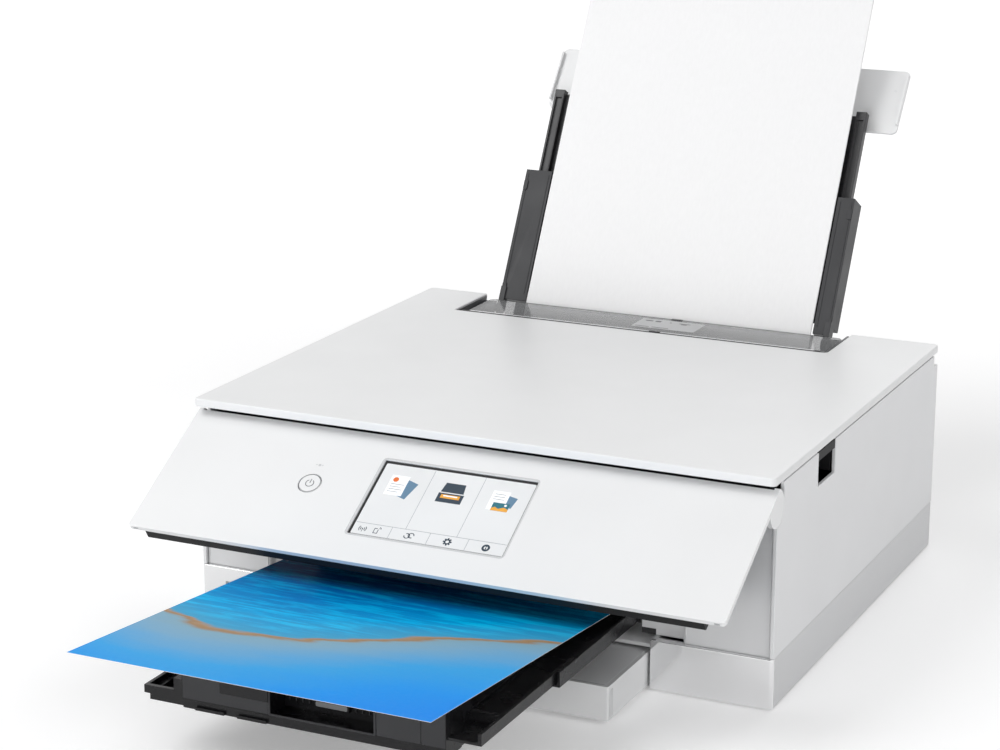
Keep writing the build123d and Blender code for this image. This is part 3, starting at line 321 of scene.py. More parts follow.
WHITE = (0.84, 0.845, 0.85)
MATERIALS = {
    "white_gloss": plastic("white_gloss", WHITE, 0.22, mottle=0.012, depth=0.000008),
    "white_top": plastic("white_top", (0.82, 0.825, 0.83), 0.4, grain=2400, depth=0.00002, mottle=0.012),
    "white_side": plastic("white_side", (0.8, 0.805, 0.815), 0.38, grain=2200, mottle=0.015),
    "white_base": dotted("white_base", (0.76, 0.765, 0.775)),
    # Painted shade: the fascias' white is greyer than the other covers' white, for the shadow under the panel's
    # overhang.
    "white_fascia": plastic("white_fascia", (0.72, 0.725, 0.735), 0.42, grain=1900, mottle=0.02),
    "white_trim": bright_trim("white_trim", (0.83, 0.832, 0.838)),
    "white_thin": plastic("white_thin", (0.83, 0.835, 0.84), 0.3, mottle=0.02),
    "black_matte": plastic("black_matte", (0.012, 0.012, 0.013), 0.55, grain=1500, mottle=0.15, specular=0.2),
    "black_plastic": plastic("black_plastic", (0.022, 0.022, 0.024), 0.42, grain=1500, depth=0.00003,
                             mottle=0.15),
    "black_tray": plastic("black_tray", (0.007, 0.007, 0.008), 0.26, grain=1500, depth=0.00002, mottle=0.15,
                          specular=0.3),
    "black_gloss": plastic("black_gloss", (0.01, 0.01, 0.012), 0.12, mottle=0.1, depth=0.000004),
    "charcoal": plastic("charcoal", (0.024, 0.0245, 0.027), 0.46, grain=1400, depth=0.00004, mottle=0.12,
                        specular=0.35),
    "dark_grey": plastic("dark_grey", (0.075, 0.077, 0.082), 0.4, grain=1500, depth=0.00003, mottle=0.1),
    "grey_plastic": plastic("grey_plastic", (0.2, 0.205, 0.21), 0.4, grain=1500, mottle=0.08),
    "pale_grey": plastic("pale_grey", (0.5, 0.505, 0.515), 0.35, grain=1800, mottle=0.04),
    "smoked_plastic": clear("smoked_plastic", (0.3, 0.305, 0.31), 0.06, 0.5),
    "glass": clear("glass", (0.6, 0.68, 0.66), 0.02, 0.35),
    "rubber": plastic("rubber", (0.03, 0.03, 0.031), 0.75, grain=900, depth=0.00005, mottle=0.15),
    "steel": metal("steel", (0.62, 0.63, 0.64), 0.3),
    "foam": plastic("foam", (0.8, 0.8, 0.79), 0.85, grain=600, depth=0.00012, mottle=0.03),
    "paper": paper("paper", (0.9, 0.9, 0.905), 0.75),
    "circuit": plastic("circuit", (0.02, 0.12, 0.05), 0.35, grain=300, depth=0.0001, mottle=0.4),
    "ink": plastic("ink", (0.06, 0.06, 0.07), 0.3, mottle=0.1),
    "screen_frame": plastic("screen_frame", (0.006, 0.006, 0.008), 0.08, mottle=0.1, depth=0.000002),
    "screen_halo": plastic("screen_halo", (0.62, 0.625, 0.635), 0.2, mottle=0.01, depth=0.000004),
    "ui_ground": lit("ui_ground", (0.74, 0.75, 0.76), 0.14),
    "ui_line": lit("ui_line", (0.36, 0.38, 0.41), 0.08),
    "ui_white": lit("ui_white", (0.88, 0.89, 0.9), 0.22),
    "ui_slate": lit("ui_slate", (0.04, 0.06, 0.085), 0.04),
    "ui_orange": lit("ui_orange", (0.75, 0.17, 0.04), 0.12),
    "ui_blue": lit("ui_blue", (0.13, 0.24, 0.36), 0.08),
    "ui_amber": lit("ui_amber", (0.8, 0.38, 0.06), 0.12),
    "ui_teal": lit("ui_teal", (0.03, 0.17, 0.22), 0.08),
    "mark_grey": plastic("mark_grey", (0.12, 0.125, 0.135), 0.3, mottle=0.1),
    "mark_light": plastic("mark_light", (0.55, 0.56, 0.57), 0.3, mottle=0.05),
}


# Mesh pieces
SHARP = math.radians(35)


def finish_mesh(name, mesh_data, look, body, bevel=0.0, segments=2):
    """Turns a bmesh into a piece with a material, a bevel, a body and a material slot."""
    bmesh.ops.recalc_face_normals(mesh_data, faces=mesh_data.faces)
    mesh = bpy.data.meshes.new(name)
    mesh_data.to_mesh(mesh)
    mesh_data.free()
    piece = bpy.data.objects.new(name, mesh)
    bpy.context.scene.collection.objects.link(piece)
    looks = look if isinstance(look, list) else [look]
    for one in looks:
        mesh.materials.append(MATERIALS[one].material)
    for polygon in mesh.polygons:
        polygon.use_smooth = True
    mesh.set_sharp_from_angle(angle=SHARP)
    if bevel:
        edge = piece.modifiers.new("edge", "BEVEL")
        edge.width = bevel * MM
        edge.segments = segments
        edge.limit_method = "ANGLE"
        edge.angle_limit = SHARP
        edge.use_clamp_overlap = True
        edge.harden_normals = True
    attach(piece, body)
    return piece


SAME_POINT = 0.000002
FLAT = math.radians(1)


def dress(node, look, bevel, segments=2):
    """The CAD node's own shape with its flat faces joined and its edges rounded."""
    source = frame["nodes"][node]
    data = bmesh.new()
    data.from_mesh(source.data)
    bmesh.ops.remove_doubles(data, verts=data.verts, dist=SAME_POINT)
    bmesh.ops.dissolve_limit(data, angle_limit=FLAT, verts=data.verts, edges=data.edges)
    for face in data.faces:
        face.material_index = 0
    piece = finish_mesh(node + "_finished", data, look, BODY_OF[node], bevel, segments)
    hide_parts(node)
    return piece


def paint(node, look):
    """A CAD node whose shape is right only takes a material."""
    piece = frame["nodes"][node]
    piece.data.materials.clear()
    piece.data.materials.append(MATERIALS[look].material)


def add_prism(data, place, outline, low, high):
    """Adds a plate with an outline of u, v points, between two heights above its place."""
    bottom = [data.verts.new(place.at(u, v, low)) for u, v in outline]
    top = [data.verts.new(place.at(u, v, high)) for u, v in outline]
    data.faces.new(top)
    data.faces.new(list(reversed(bottom)))
    count = len(outline)
    for i in range(count):
        j = (i + 1) % count
        data.faces.new((bottom[i], bottom[j], top[j], top[i]))


def add_ring(data, place, outer, inner, low, high):
    """Adds a closed band between two outlines with as many points."""
    rings = [[data.verts.new(place.at(u, v, w)) for u, v in line]
             for line, w in ((outer, low), (outer, high), (inner, high), (inner, low))]
    count = len(outer)
    for a, b in zip(rings, rings[1:] + rings[:1]):
        for i in range(count):
            j = (i + 1) % count
            data.faces.new((a[i], a[j], b[j], b[i]))


def rectangle(u, v):
    return [(u[0], v[0]), (u[1], v[0]), (u[1], v[1]), (u[0], v[1])]


def rounded(u, v, radius, steps=5):
    """A rectangle with round corners."""
    points = []
    corners = ((u[1] - radius, v[1] - radius, 0), (u[0] + radius, v[1] - radius, 90),
               (u[0] + radius, v[0] + radius, 180), (u[1] - radius, v[0] + radius, 270))
    for cu, cv, start in corners:
        for i in range(steps + 1):
            angle = math.radians(start + 90 * i / steps)
            points.append((cu + radius * math.cos(angle), cv + radius * math.sin(angle)))
    return points


def grown(u, v, edge):
    """Two spans made larger by edge at each end."""
    return (u[0] - edge, u[1] + edge), (v[0] - edge, v[1] + edge)


def around(u, v, half_u, half_v):
    """A rectangle about a middle point."""
    return rectangle((u - half_u, u + half_u), (v - half_v, v + half_v))


def turned(outline, u, v, degrees):
    """An outline turned about a point."""
    c = math.cos(math.radians(degrees))
    s = math.sin(math.radians(degrees))
    return [(u + c * (a - u) - s * (b - v), v + s * (a - u) + c * (b - v)) for a, b in outline]


def circle(u, v, radius, steps=40, start=0, sweep=360):
    """A circle, or an arc of it with a point at each end."""
    full = sweep == 360
    count = steps if full else steps + 1
    angles = [math.radians(start + sweep * i / steps) for i in range(count)]
    return [(u + radius * math.cos(a), v + radius * math.sin(a)) for a in angles]


def arc_band(u, v, radius, width, start, sweep, steps=24):
    """A curved bar with square ends."""
    outer = circle(u, v, radius + width / 2, steps, start, sweep)
    inner = circle(u, v, radius - width / 2, steps, start, sweep)
    return outer + list(reversed(inner))


def plates(name, place, items, low, high, look, body, bevel):
    """Several plates of one look as one piece."""
    data = bmesh.new()
    for outline in items:
        add_prism(data, place, outline, low, high)
    return finish_mesh(name, data, look, body, bevel, 1)


def band(name, place, outer, inner, low, high, look, body, bevel):
    """A closed frame between two outlines as one piece."""
    data = bmesh.new()
    add_ring(data, place, outer, inner, low, high)
    return finish_mesh(name, data, look, body, bevel, 1)


# Casing: covers, trims and fascias
def casing():
    """Looks for the covers and the frame, and for the glass, pad, scan bar and screws."""
    dress("document_cover", "white_top", 0.4, 3)
    # The scanner housing is made near black: partly the dark frame round the glass, partly painted shade for the
    # gap under the lid's front edge.
    dress("scanner_housing", "black_matte", 0.25)
    for side in ("left", "right"):
        dress(f"side_cover_{side}", "white_side", 0.6, 3)
        dress(f"base_trim_{side}", "white_trim", 0.5, 3)
        # The fascias take the greyer white, painted shade under the panel.
        dress(f"front_fascia_{side}", "white_fascia", 0.5, 3)
    dress("rear_cover", "white_side", 0.4)
    dress("base_pan", "white_base", 0.5)
    dress("feet", "rubber", 0.3)
    dress("card_reader", "black_plastic", 0.2)
    dress("inner_frame", "black_plastic", 0.3)
    dress("platen_glass", "glass", 0.2)
    dress("pressure_pad", "foam", 0.4)
    dress("scan_bar", "black_plastic", 0.4)
    for node in ("scan_rail", "screws"):
        paint(node, "steel")


SEAM_Z = (31.5, 32)
SEAM_FRONT = 9
SEAM_BACK = 3
NOTCH = (75.3, 105.2)
NOTCH_LIP = 5.5
NOTCH_WALL = -15.45
GRIP_RIB_Z = (115.4, 117.4, 119.4)
GRIP_RIB_THICK = 0.7


def side_details():
    """The bright seam over the base, and the lining and ribs of the finger notches."""
    depth = (BACK - LID_FRONT) / MM
    notch_low = lowest("scanner_housing").z / MM
    notch_top = highest("side_cover_right").z / MM - NOTCH_LIP
    for place, sign, name in ((LEFT, -1, "left"), (RIGHT, 1, "right")):
        along = sorted((sign * SEAM_FRONT, sign * (depth - SEAM_BACK)))
        plates(f"base_seam_{name}", place, [rectangle(along, SEAM_Z)], -0.7, -0.02, "mark_light", "base",
               0.1)
        grip = sorted((sign * NOTCH[0], sign * NOTCH[1]))
        lining = rectangle((grip[0] - 0.3, grip[1] + 0.3), (notch_low + 0.2, notch_top - 0.2))
        plates(f"grip_lining_{name}", place, [lining], NOTCH_WALL, NOTCH_WALL + 0.25, "white_side",
               "scanner_unit", 0)
        # The ribs take the fascias' greyer white, painted shade inside the notch.
        ribs = [rectangle((grip[0] + 1, grip[1] - 1), (low, low + GRIP_RIB_THICK)) for low in GRIP_RIB_Z]
        plates(f"grip_ribs_{name}", place, ribs, NOTCH_WALL + 0.15, NOTCH_WALL + 0.85, "white_fascia",
               "scanner_unit", 0.15)


SCREW_X = (-150, -60, 60, 150)
SCREW_Z = 113.5
SCREW_TURN = 20
SLOT_HALF = (2, 0.4)
SLOT_DEPTH = (-2.48, -2.3)
SOCKET_RIM = 2


def rear_details():
    """Cross recesses in the rear screws and a rim round each socket."""
    data = bmesh.new()
    for x in SCREW_X:
        for angle in (0, 90):
            bar = turned(around(-x, SCREW_Z, *SLOT_HALF), -x, SCREW_Z, angle + SCREW_TURN)
            add_prism(data, REAR, bar, *SLOT_DEPTH)
    finish_mesh("rear_screw_slots", data, "black_plastic", "base")
    for name, node in (("power", "power_inlet"), ("usb", "usb_port")):
        low = lowest(node) / MM
        high = highest(node) / MM
        u = (-high.x, -low.x)
        v = (low.z, high.z)
        outer = rounded(*grown(u, v, SOCKET_RIM), 1.5)
        inner = rounded(*grown(u, v, 0.2), 0.4)
        band(f"{name}_rim", REAR, outer, inner, -0.6, -0.02, "white_side", "base", 0.2)


FASCIA_THICK = 3
STEP_LEFT = -139.5
STEP_RIGHT = 131.1
SILL_TOP = 4.2
EMBOSS = (158.8, 58)
EMBOSS_HALF = 4.2
EMBOSS_WIDTH = 0.6
RIDGES = ((-183.2, -182.5), (-141.5, -140.9), (133.0, 133.6), (182.5, 183.2))
RIDGE_Z = (36, 106)


def fascia_details():
    """A small embossed square on the right fascia, upright ridges on both and a sill under each step."""
    face = facing_front(lowest("front_fascia_right").y)
    u = (EMBOSS[0] - EMBOSS_HALF, EMBOSS[0] + EMBOSS_HALF)
    v = (EMBOSS[1] - EMBOSS_HALF, EMBOSS[1] + EMBOSS_HALF)
    outer = rounded(u, v, 1)
    inner = rounded(*grown(u, v, -EMBOSS_WIDTH), 0.6)
    # The square, ridges and sills take the fascias' greyer white, with its painted shade.
    band("fascia_square", face, outer, inner, -0.2, 0.22, "white_fascia", "base", 0.1)
    data = bmesh.new()
    for ridge in RIDGES:
        add_prism(data, face, rectangle(ridge, RIDGE_Z), -0.2, 0.25)
    finish_mesh("fascia_ridges", data, "white_fascia", "base", 0.15)
    step = facing_front(highest("front_fascia_right").y - FASCIA_THICK * MM)
    foot = lowest("front_fascia_right").z / MM
    inner_left = highest("front_fascia_left").x / MM
    inner_right = lowest("front_fascia_right").x / MM
    sill_z = (foot + 0.1, foot + SILL_TOP)
    sills = [rectangle((STEP_LEFT + 0.2, inner_left - 0.2), sill_z),
             rectangle((inner_right + 0.2, STEP_RIGHT - 0.2), sill_z)]
    plates("fascia_sills", step, sills, -0.6, -0.05, "white_fascia", "base", 0.1)


# Control panel
BUTTON = (-88.5, -36.7)
LIGHT = (-88.5, -22.2)
RING_OUT = 6.8
RING_IN = 6.42
SCREEN_FACE = -0.5
DISPLAY = (-47.2, 47.6)
DISPLAY_FOOT = -58.9
COLUMN_LINES = (-15.8, 16.5)
CELL_LINES = (-23.9, 0.3, 24.4)
LINE_HALF = 0.13


def upright(x, v):
    """A thin upright line of the display."""
    return rectangle((x - LINE_HALF, x + LINE_HALF), v)


def control_panel():
    """The panel, the screen's bright frame and glass, and the ground and lines of its display."""
    dress("panel_front", "white_gloss", 0.45, 3)
    dress("panel_back", "black_matte", 0.3)
    dress("touch_screen", "screen_frame", 0.1)
    dress("status_light", "mark_light", 0.1)
    body = "control_panel"
    face = SCREEN_FACE
    halo_out = rounded((-51.2, 49.6), (-69.4, -9.4), 2.6)
    halo_in = rounded((-49.7, 48.7), (-68.2, -10.9), 1.6)
    band("screen_halo", PANEL, halo_out, halo_in, -0.4, 0.12, "screen_halo", body, 0.12)
    plates("screen_glass", PANEL, [rounded((-49.2, 48.2), (-67.7, -11.4), 1.4)], face - 0.02, face + 0.06,
           "screen_frame", body, 0.03)
    ground = rounded((-47.7, 48.1), (-67.6, -13.2), 0.9)
    plates("ui_ground", PANEL, [ground], face, face + 0.1, "ui_ground", body, 0.02)
    lines = [upright(x, (DISPLAY_FOOT, -13.6)) for x in COLUMN_LINES]
    lines += [upright(x, (-67.2, DISPLAY_FOOT)) for x in CELL_LINES]
    lines += [rectangle(DISPLAY, (-59.05, -58.75)), rectangle(DISPLAY, (-67.5, -67.3))]
    plates("ui_lines", PANEL, lines, face, face + 0.14, "ui_line", body, 0)
    screen_icons(body, face + 0.08)
    power_marks()


PICTURE_U = (-32.5, 0.6, 32.2)
PICTURE_V = -28.5
SIGN_V = -63.2
ICON_STEP = 0.03
ICON_THICK = 0.05
ROW_PITCH = 1.9
ROW_THICK = 0.4


def sheet_row(left, right, first, number):
    """One of the thin rows on a drawn sheet, counted from the top one."""
    foot = first - number * ROW_PITCH
    return rectangle((left, right), (foot, foot + ROW_THICK))


def screen_icons(body, low):
    """Three plain pictures, of sheets, a flatbed and a small print, and a row of small generic signs."""

    def icon(name, outlines, step, look):
        bottom = low + step * ICON_STEP
        plates(name, PANEL, outlines, bottom, bottom + ICON_THICK, look, body, 0)

    u, v = PICTURE_U[0], PICTURE_V
    icon("icon_sheets_back", [turned(rectangle((u - 1, u + 9), (v - 7, v + 6)), u, v, -18)], 0, "ui_blue")
    icon("icon_sheets_front", [rectangle((u - 8, u + 3.4), (v - 7.5, v + 7.5))], 1, "ui_white")
    icon("icon_sheets_spot", [circle(u - 4.6, v + 4.2, 1.8, 18)], 2, "ui_orange")
    rows = [sheet_row(u - 6.5, u + 1.9 - (i % 2) * 1.8, v + 0.6, i) for i in range(4)]
    icon("icon_sheets_rows", rows, 2, "ui_line")

    u = PICTURE_U[1]
    lid = [(u - 7.2, v + 0.4), (u + 7.2, v + 0.4), (u + 6.2, v + 7.4), (u - 6.2, v + 7.4)]
    bed = rectangle((u - 8, u + 8), (v - 7.2, v - 0.4))
    icon("icon_flatbed", [lid, bed], 1, "ui_slate")
    icon("icon_flatbed_glow", [rectangle((u - 6, u + 6), (v - 4.2, v - 1.4))], 2, "ui_amber")
    icon("icon_flatbed_gleam", [rectangle((u - 4.4, u + 4.4), (v - 2.8, v - 1.9))], 3, "ui_white")

    u = PICTURE_U[2]
    icon("icon_photo_back", [turned(rectangle((u - 1, u + 8), (v - 3, v + 5)), u, v, -12)], 0, "ui_blue")
    icon("icon_photo_sheet", [rectangle((u - 7.4, u + 3.2), (v - 7.2, v + 7))], 1, "ui_white")
    icon("icon_photo_rows", [sheet_row(u - 5.8, u + 1, v + 4.4, i) for i in range(3)], 2, "ui_line")
    icon("icon_photo_picture", [rectangle((u - 4.4, u + 6), (v - 7.6, v - 1.6))], 3, "ui_teal")
    hills = [(u - 4.4, v - 7.6), (u + 6, v - 7.6), (u + 6, v - 5.6), (u + 3, v - 4.6), (u, v - 6),
             (u - 2.4, v - 4.8), (u - 4.4, v - 6)]
    icon("icon_photo_hills", [hills], 4, "ui_amber")
    icon("icon_photo_sun", [circle(u + 3.6, v - 3.1, 0.8, 16)], 4, "ui_white")

    small = mast_sign(-41.5, SIGN_V) + box_sign(-31.5, SIGN_V) + rings_sign(-11.8, SIGN_V)
    small += gear_sign(12.4, SIGN_V) + note_sign(36.4, SIGN_V)
    icon("icons_small", small, 1, "ui_slate")


def mast_sign(u, v):
    """A mast with two arcs at each side."""
    outlines = []
    for radius in (1.3, 2.3):
        outlines.append(arc_band(u, v, radius, 0.42, 135, 90, 8))
        outlines.append(arc_band(u, v, radius, 0.42, -45, 90, 8))
    return outlines + [circle(u, v, 0.45, 12), rectangle((u - 0.15, u + 0.15), (v - 2.2, v))]


def box_sign(u, v):
    """An open frame with two arcs over its corner."""
    arcs = [arc_band(u, v + 1.2, radius, 0.36, 10, 70, 8) for radius in (1.4, 0.7)]
    edges = (((u - 2.8, u - 2.4), (v - 2.1, v + 1.7)), ((u - 0.4, u), (v - 2.1, v + 0.9)),
             ((u - 2.4, u - 0.4), (v - 2.1, v - 1.7)), ((u - 2.4, u - 0.9), (v + 1.3, v + 1.7)))
    return arcs + [rectangle(*edge) for edge in edges]


def rings_sign(u, v):
    """Two open rings that cross."""
    return [arc_band(u + side * 1.25, v + side * 0.3, 1.7, 0.55, 0 if side > 0 else 180, 300, 24)
            for side in (-1, 1)]


def gear_sign(u, v):
    """A ring with eight teeth."""
    tooth = rectangle((u - 0.5, u + 0.5), (v + 1.7, v + 2.7))
    return [turned(tooth, u, v, 45 * i) for i in range(8)] + [arc_band(u, v, 1.5, 0.9, 0, 359, 32)]


def note_sign(u, v):
    """A ring round a bar and a dot."""
    bar = rectangle((u - 0.3, u + 0.3), (v - 1.3, v + 0.4))
    return [arc_band(u, v, 1.85, 1.3, 0, 359, 32), bar, circle(u, v + 0.95, 0.34, 10)]


def power_marks():
    """The button's thin ring and power sign, and a tiny lamp at each side of the status light."""
    u, v = BUTTON
    dress("power_button", "white_gloss", 0.15, 3)
    band("button_ring", PANEL, circle(u, v, RING_OUT, 72), circle(u, v, RING_IN, 72), -0.1, 0.05,
         "mark_grey", "power_button", 0)
    sign = [arc_band(u, v, 2.5, 0.5, 122, 296, 36), rectangle((u - 0.25, u + 0.25), (v + 0.2, v + 3.3))]
    plates("button_sign", PANEL, sign, -0.1, 0.05, "mark_grey", "power_button", 0)
    lamps = [circle(LIGHT[0] + offset, LIGHT[1], 0.42, 16) for offset in (-2, 2)]
    plates("panel_lamps", PANEL, lamps, -0.1, 0.04, "mark_light", "control_panel", 0)


EDGE_LINE = ((-184.2, 184.2), (-88.0, -87.2))
BACK_RIB_X = range(-150, 151, 30)
BACK_RIB_V = (-80, -20)


def panel_edge():
    """The metal-grey line under the white face, and the black underside's ribs."""
    plates("panel_edge_line", PANEL, [rectangle(*EDGE_LINE)], -2.9, -2.2, "mark_light", "control_panel",
           0.1)
    ribs = [rectangle((x - 0.6, x + 0.6), BACK_RIB_V) for x in BACK_RIB_X]
    plates("panel_back_ribs", PANEL, ribs, -11.2, -9.9, "black_matte", "control_panel", 0.2)


# Feed slot: the recess, its smoked cover and what lies under it
COVER_INSET = 8.8
CHUTE_RIB_X = range(-112, 106, 16)


def feed_slot():
    """The smoked cover's lip, with a white plate along its front as a painted highlight, and its lines, plate,
    latches and seams, and the ribs of the chute under it.
    """
    dress("feed_recess", "dark_grey", 0.3)
    dress("pickup_roller", "rubber", 0.3)
    cover = dress("feed_slot_cover", "smoked_plastic", 0.25)
    cover.modifiers["edge"].angle_limit = math.radians(50)
    low, high = lowest("feed_slot_cover") / MM, highest("feed_slot_cover") / MM
    front = low.y - LID_FRONT / MM
    back = high.y - LID_FRONT / MM
    left, right = low.x + COVER_INSET, high.x - COVER_INSET

    def on_cover(name, outlines, bottom, top, look, bevel=0.0):
        plates(name, TOP, outlines, bottom, top, look, "feed_slot_cover", bevel)

    # A white plate along the cover's front: a painted highlight for the bright line on the lip.
    lip = rectangle((left + 1, right - 1), (front + 1.2, front + 2.8))
    on_cover("slot_cover_lip_highlight", [lip], -0.95, -0.4, "white_gloss", 0.2)
    line = rectangle((left - 4, right + 4), (front - 0.2, front + 0.7))
    on_cover("slot_cover_front_line", [line], -1.0, -0.3, "black_gloss")
    edge = rectangle((left + 3, right - 3), (back - 1.3, back - 0.5))
    on_cover("slot_cover_rear_edge", [edge], -0.7, -0.5, "black_gloss", 0.05)
    middle = (left + right) / 2
    plate_u = (middle - 8, middle + 37)
    plate_v = (front + 11, back - 5.5)
    on_cover("slot_cover_plate", [rounded(plate_u, plate_v, 1)], -0.72, -0.56, "pale_grey", 0.03)
    u = plate_u[0]
    foot, top = plate_v
    marks = [rectangle((u + 4, u + 9), (top - 6, top - 4)),
             rectangle((u + 11, u + 15), (top - 6.5, top - 3.6)),
             circle(u + 22, top - 5, 0.7, 14), rectangle((u + 28, u + 36), (top - 5.4, top - 4.2)),
             rectangle((u + 30, u + 34), (top - 7.4, top - 6.2)),
             rectangle((u + 2, u + 12), (foot + 2, foot + 2.9)),
             rectangle((u + 14, u + 26), (foot + 2, foot + 2.9))]
    on_cover("slot_cover_marks", marks, -0.68, -0.5, "black_gloss")
    latches = [rounded((middle + 11, middle + 19), (back - 3.2, back - 0.6), 0.6),
               rounded((middle + 9, middle + 17), (front + 0.6, front + 3.2), 0.6)]
    on_cover("slot_cover_latches", latches, -0.65, -0.02, "black_gloss", 0.25)
    seams = [rectangle((left + 60, left + 84), (back - 4.4, back - 4.1)),
             rectangle((right - 70, right - 56), (back - 4.4, back - 4.1))]
    on_cover("slot_cover_seams", seams, -0.66, -0.55, "mark_light")
    chute = Place(PAPER.at(0, -8, -0.9), (1, 0, 0), paper_up)
    ribs = [rectangle((x - 0.6, x + 0.6), (-60, 0)) for x in CHUTE_RIB_X]
    plates("chute_ribs", chute, ribs, -0.3, 0.25, "grey_plastic", "base", 0.1)


# Rear paper support
RAIL_LEFT = -131.0
RAIL_RIGHT = 112.5
UPPER_INSET = 5.5
LOWER_RAIL = (2, 90)
UPPER_RAIL = (96, 154)
BEAD_WIDTH = 0.8
PAD_LENGTH = 7


def inwards(edge, sign, near, far):
    """A span between two distances from a rail's outer edge."""
    return sorted((edge + sign * near, edge + sign * far))


def rear_support():
    """Fine beads along the rails, small pads at the lower rails' ends, and the paper."""
    dress("lower_support", "charcoal", 0.5, 3)
    dress("upper_support", "black_plastic", 0.4, 3)
    dress("rear_tray_cover", "white_thin", 0.4, 3)
    data = bmesh.new()
    for edge, sign, offsets in ((RAIL_LEFT, 1, (1.6, 17.4)), (RAIL_RIGHT, -1, (1.4, 9.4))):
        for offset in offsets:
            bead = inwards(edge, sign, offset, offset + BEAD_WIDTH)
            add_prism(data, PAPER, rectangle(bead, LOWER_RAIL), 0.8, 1.35)
        pad = inwards(edge, sign, 0.3, 3.2)
        for v in (2, 78):
            add_prism(data, PAPER, rounded(pad, (v, v + PAD_LENGTH), 0.8), 0.8, 1.9)
    finish_mesh("lower_rail_beads", data, "charcoal", "rear_support", 0.15)
    data = bmesh.new()
    for edge, sign in ((RAIL_LEFT + UPPER_INSET, 1), (RAIL_RIGHT - UPPER_INSET, -1)):
        for near, far in ((0.6, 1.5), (6.0, 6.9)):
            add_prism(data, PAPER, rectangle(inwards(edge, sign, near, far), UPPER_RAIL), -7.2, -6.8)
    finish_mesh("upper_rail_beads", data, "black_plastic", "upper_support", 0.15)
    paper_sheets()


SHEETS = 6
SHEET_STEPS = (8, 14)
SHEET_LOW = (-110.2, -50)
SHEET_HIGH = (99.8, 247)
STACK_THICK = 1.2


def rim(grid):
    """The points round the edge of a grid, in order."""
    right = [row[-1] for row in grid[1:]]
    far = list(reversed(grid[-1][:-1]))
    left = [row[0] for row in reversed(grid[1:-1])]
    return grid[0] + right + far + left


def paper_sheets():
    """A few loose sheets, each a hair out of line with the next and very slightly wavy."""
    layers = STACK_THICK / SHEETS
    data = bmesh.new()
    for sheet in range(SHEETS):
        shift = random.uniform(0, 0.35)
        slide = random.uniform(-0.5, 0)
        base = sheet * layers
        grids = []
        for level in (0.03, layers - 0.04):
            grid = []
            for j in range(SHEET_STEPS[1] + 1):
                line = []
                for i in range(SHEET_STEPS[0] + 1):
                    s, t = i / SHEET_STEPS[0], j / SHEET_STEPS[1]
                    wave = 0.02 * math.sin(5 * s + 3 * t + sheet)
                    u = SHEET_LOW[0] + 0.4 + s * (SHEET_HIGH[0] - SHEET_LOW[0] - 0.8) + shift - 0.2
                    v = SHEET_LOW[1] + t * (SHEET_HIGH[1] - SHEET_LOW[1]) + (slide if t > 0 else 0)
                    line.append(data.verts.new(PAPER.at(u, v, base + level + wave)))
                grid.append(line)
            grids.append(grid)
        for grid in grids:
            for a, b in zip(grid, grid[1:]):
                for i in range(SHEET_STEPS[0]):
                    data.faces.new((a[i], a[i + 1], b[i + 1], b[i]))
        lower, upper = rim(grids[0]), rim(grids[1])
        for i in range(len(lower)):
            j = (i + 1) % len(lower)
            data.faces.new((lower[i], lower[j], upper[j], upper[i]))
    piece = finish_mesh("paper_sheets", data, "paper", "rear_support")
    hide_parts("paper_stack")


# Trays, cassette and printed sheet
BLOCK = (-78.2, 79.8)
BLOCK_Z = (35, 56)
HANDLE = (-23.5, 38)
STRIP_Z = (29.2, 31)
TRAY_FLOOR = 0.0409
FLOOR_RIB_X = (-75, -45, -15, 15, 45, 75)


def trays():
    """The front block's faces, tab and handle recess, and the ribs on the tray extension's floor."""
    dress("output_tray", "black_tray", 0.3)
    dress("tray_extension", "black_tray", 0.4, 3)
    front = facing_front(lowest("tray_extension").y)
    body = "tray_extension"

    def on_block(name, outlines, low, high, look, bevel):
        plates(name, front, outlines, low, high, look, body, bevel)

    faces = [rectangle((BLOCK[0] + 0.6, HANDLE[0] - 1.6), BLOCK_Z),
             rectangle((HANDLE[1] + 1.6, 65.2), BLOCK_Z), rectangle((65.7, BLOCK[1] - 0.4), BLOCK_Z)]
    on_block("tray_block_faces", faces, -1.3, -0.9, "charcoal", 0.15)
    bar = rounded((-3.5, 15.5), (38.6, 41.4), 0.8)
    on_block("handle_light_bar", [bar], -14.3, -13.8, "grey_plastic", 0.2)
    on_block("tab_face", [rectangle((-53.2, -25.3), (43, 49))], -0.3, -0.02, "dark_grey", 0.1)
    tabs = [rectangle((-70, -52), STRIP_Z), rectangle((-44, -26), STRIP_Z)]
    on_block("strip_tabs", tabs, -1.4, -0.5, "black_tray", 0.1)
    outer = rounded((HANDLE[0] - 1.4, HANDLE[1] + 1.4), (34.6, 51.2), 1.2)
    inner = rounded((HANDLE[0] - 0.1, HANDLE[1] + 0.1), (35.8, 49.9), 0.4)
    band("handle_rim", front, outer, inner, -1.3, -0.55, "charcoal", body, 0.2)
    grip = [rectangle((x, x + 0.7), (38, 48)) for x in range(-21, 36, 4)]
    on_block("handle_ribs", grip, -16.8, -16.2, "charcoal", 0.1)
    floor = Place((0, highest("tray_extension").y, TRAY_FLOOR), (1, 0, 0), (0, 1, 0))
    ribs = [rectangle((x - 0.7, x + 0.7), (-118, -2)) for x in FLOOR_RIB_X]
    plates("tray_floor_ribs", floor, ribs, -0.2, 1.1, "black_tray", body, 0.2)


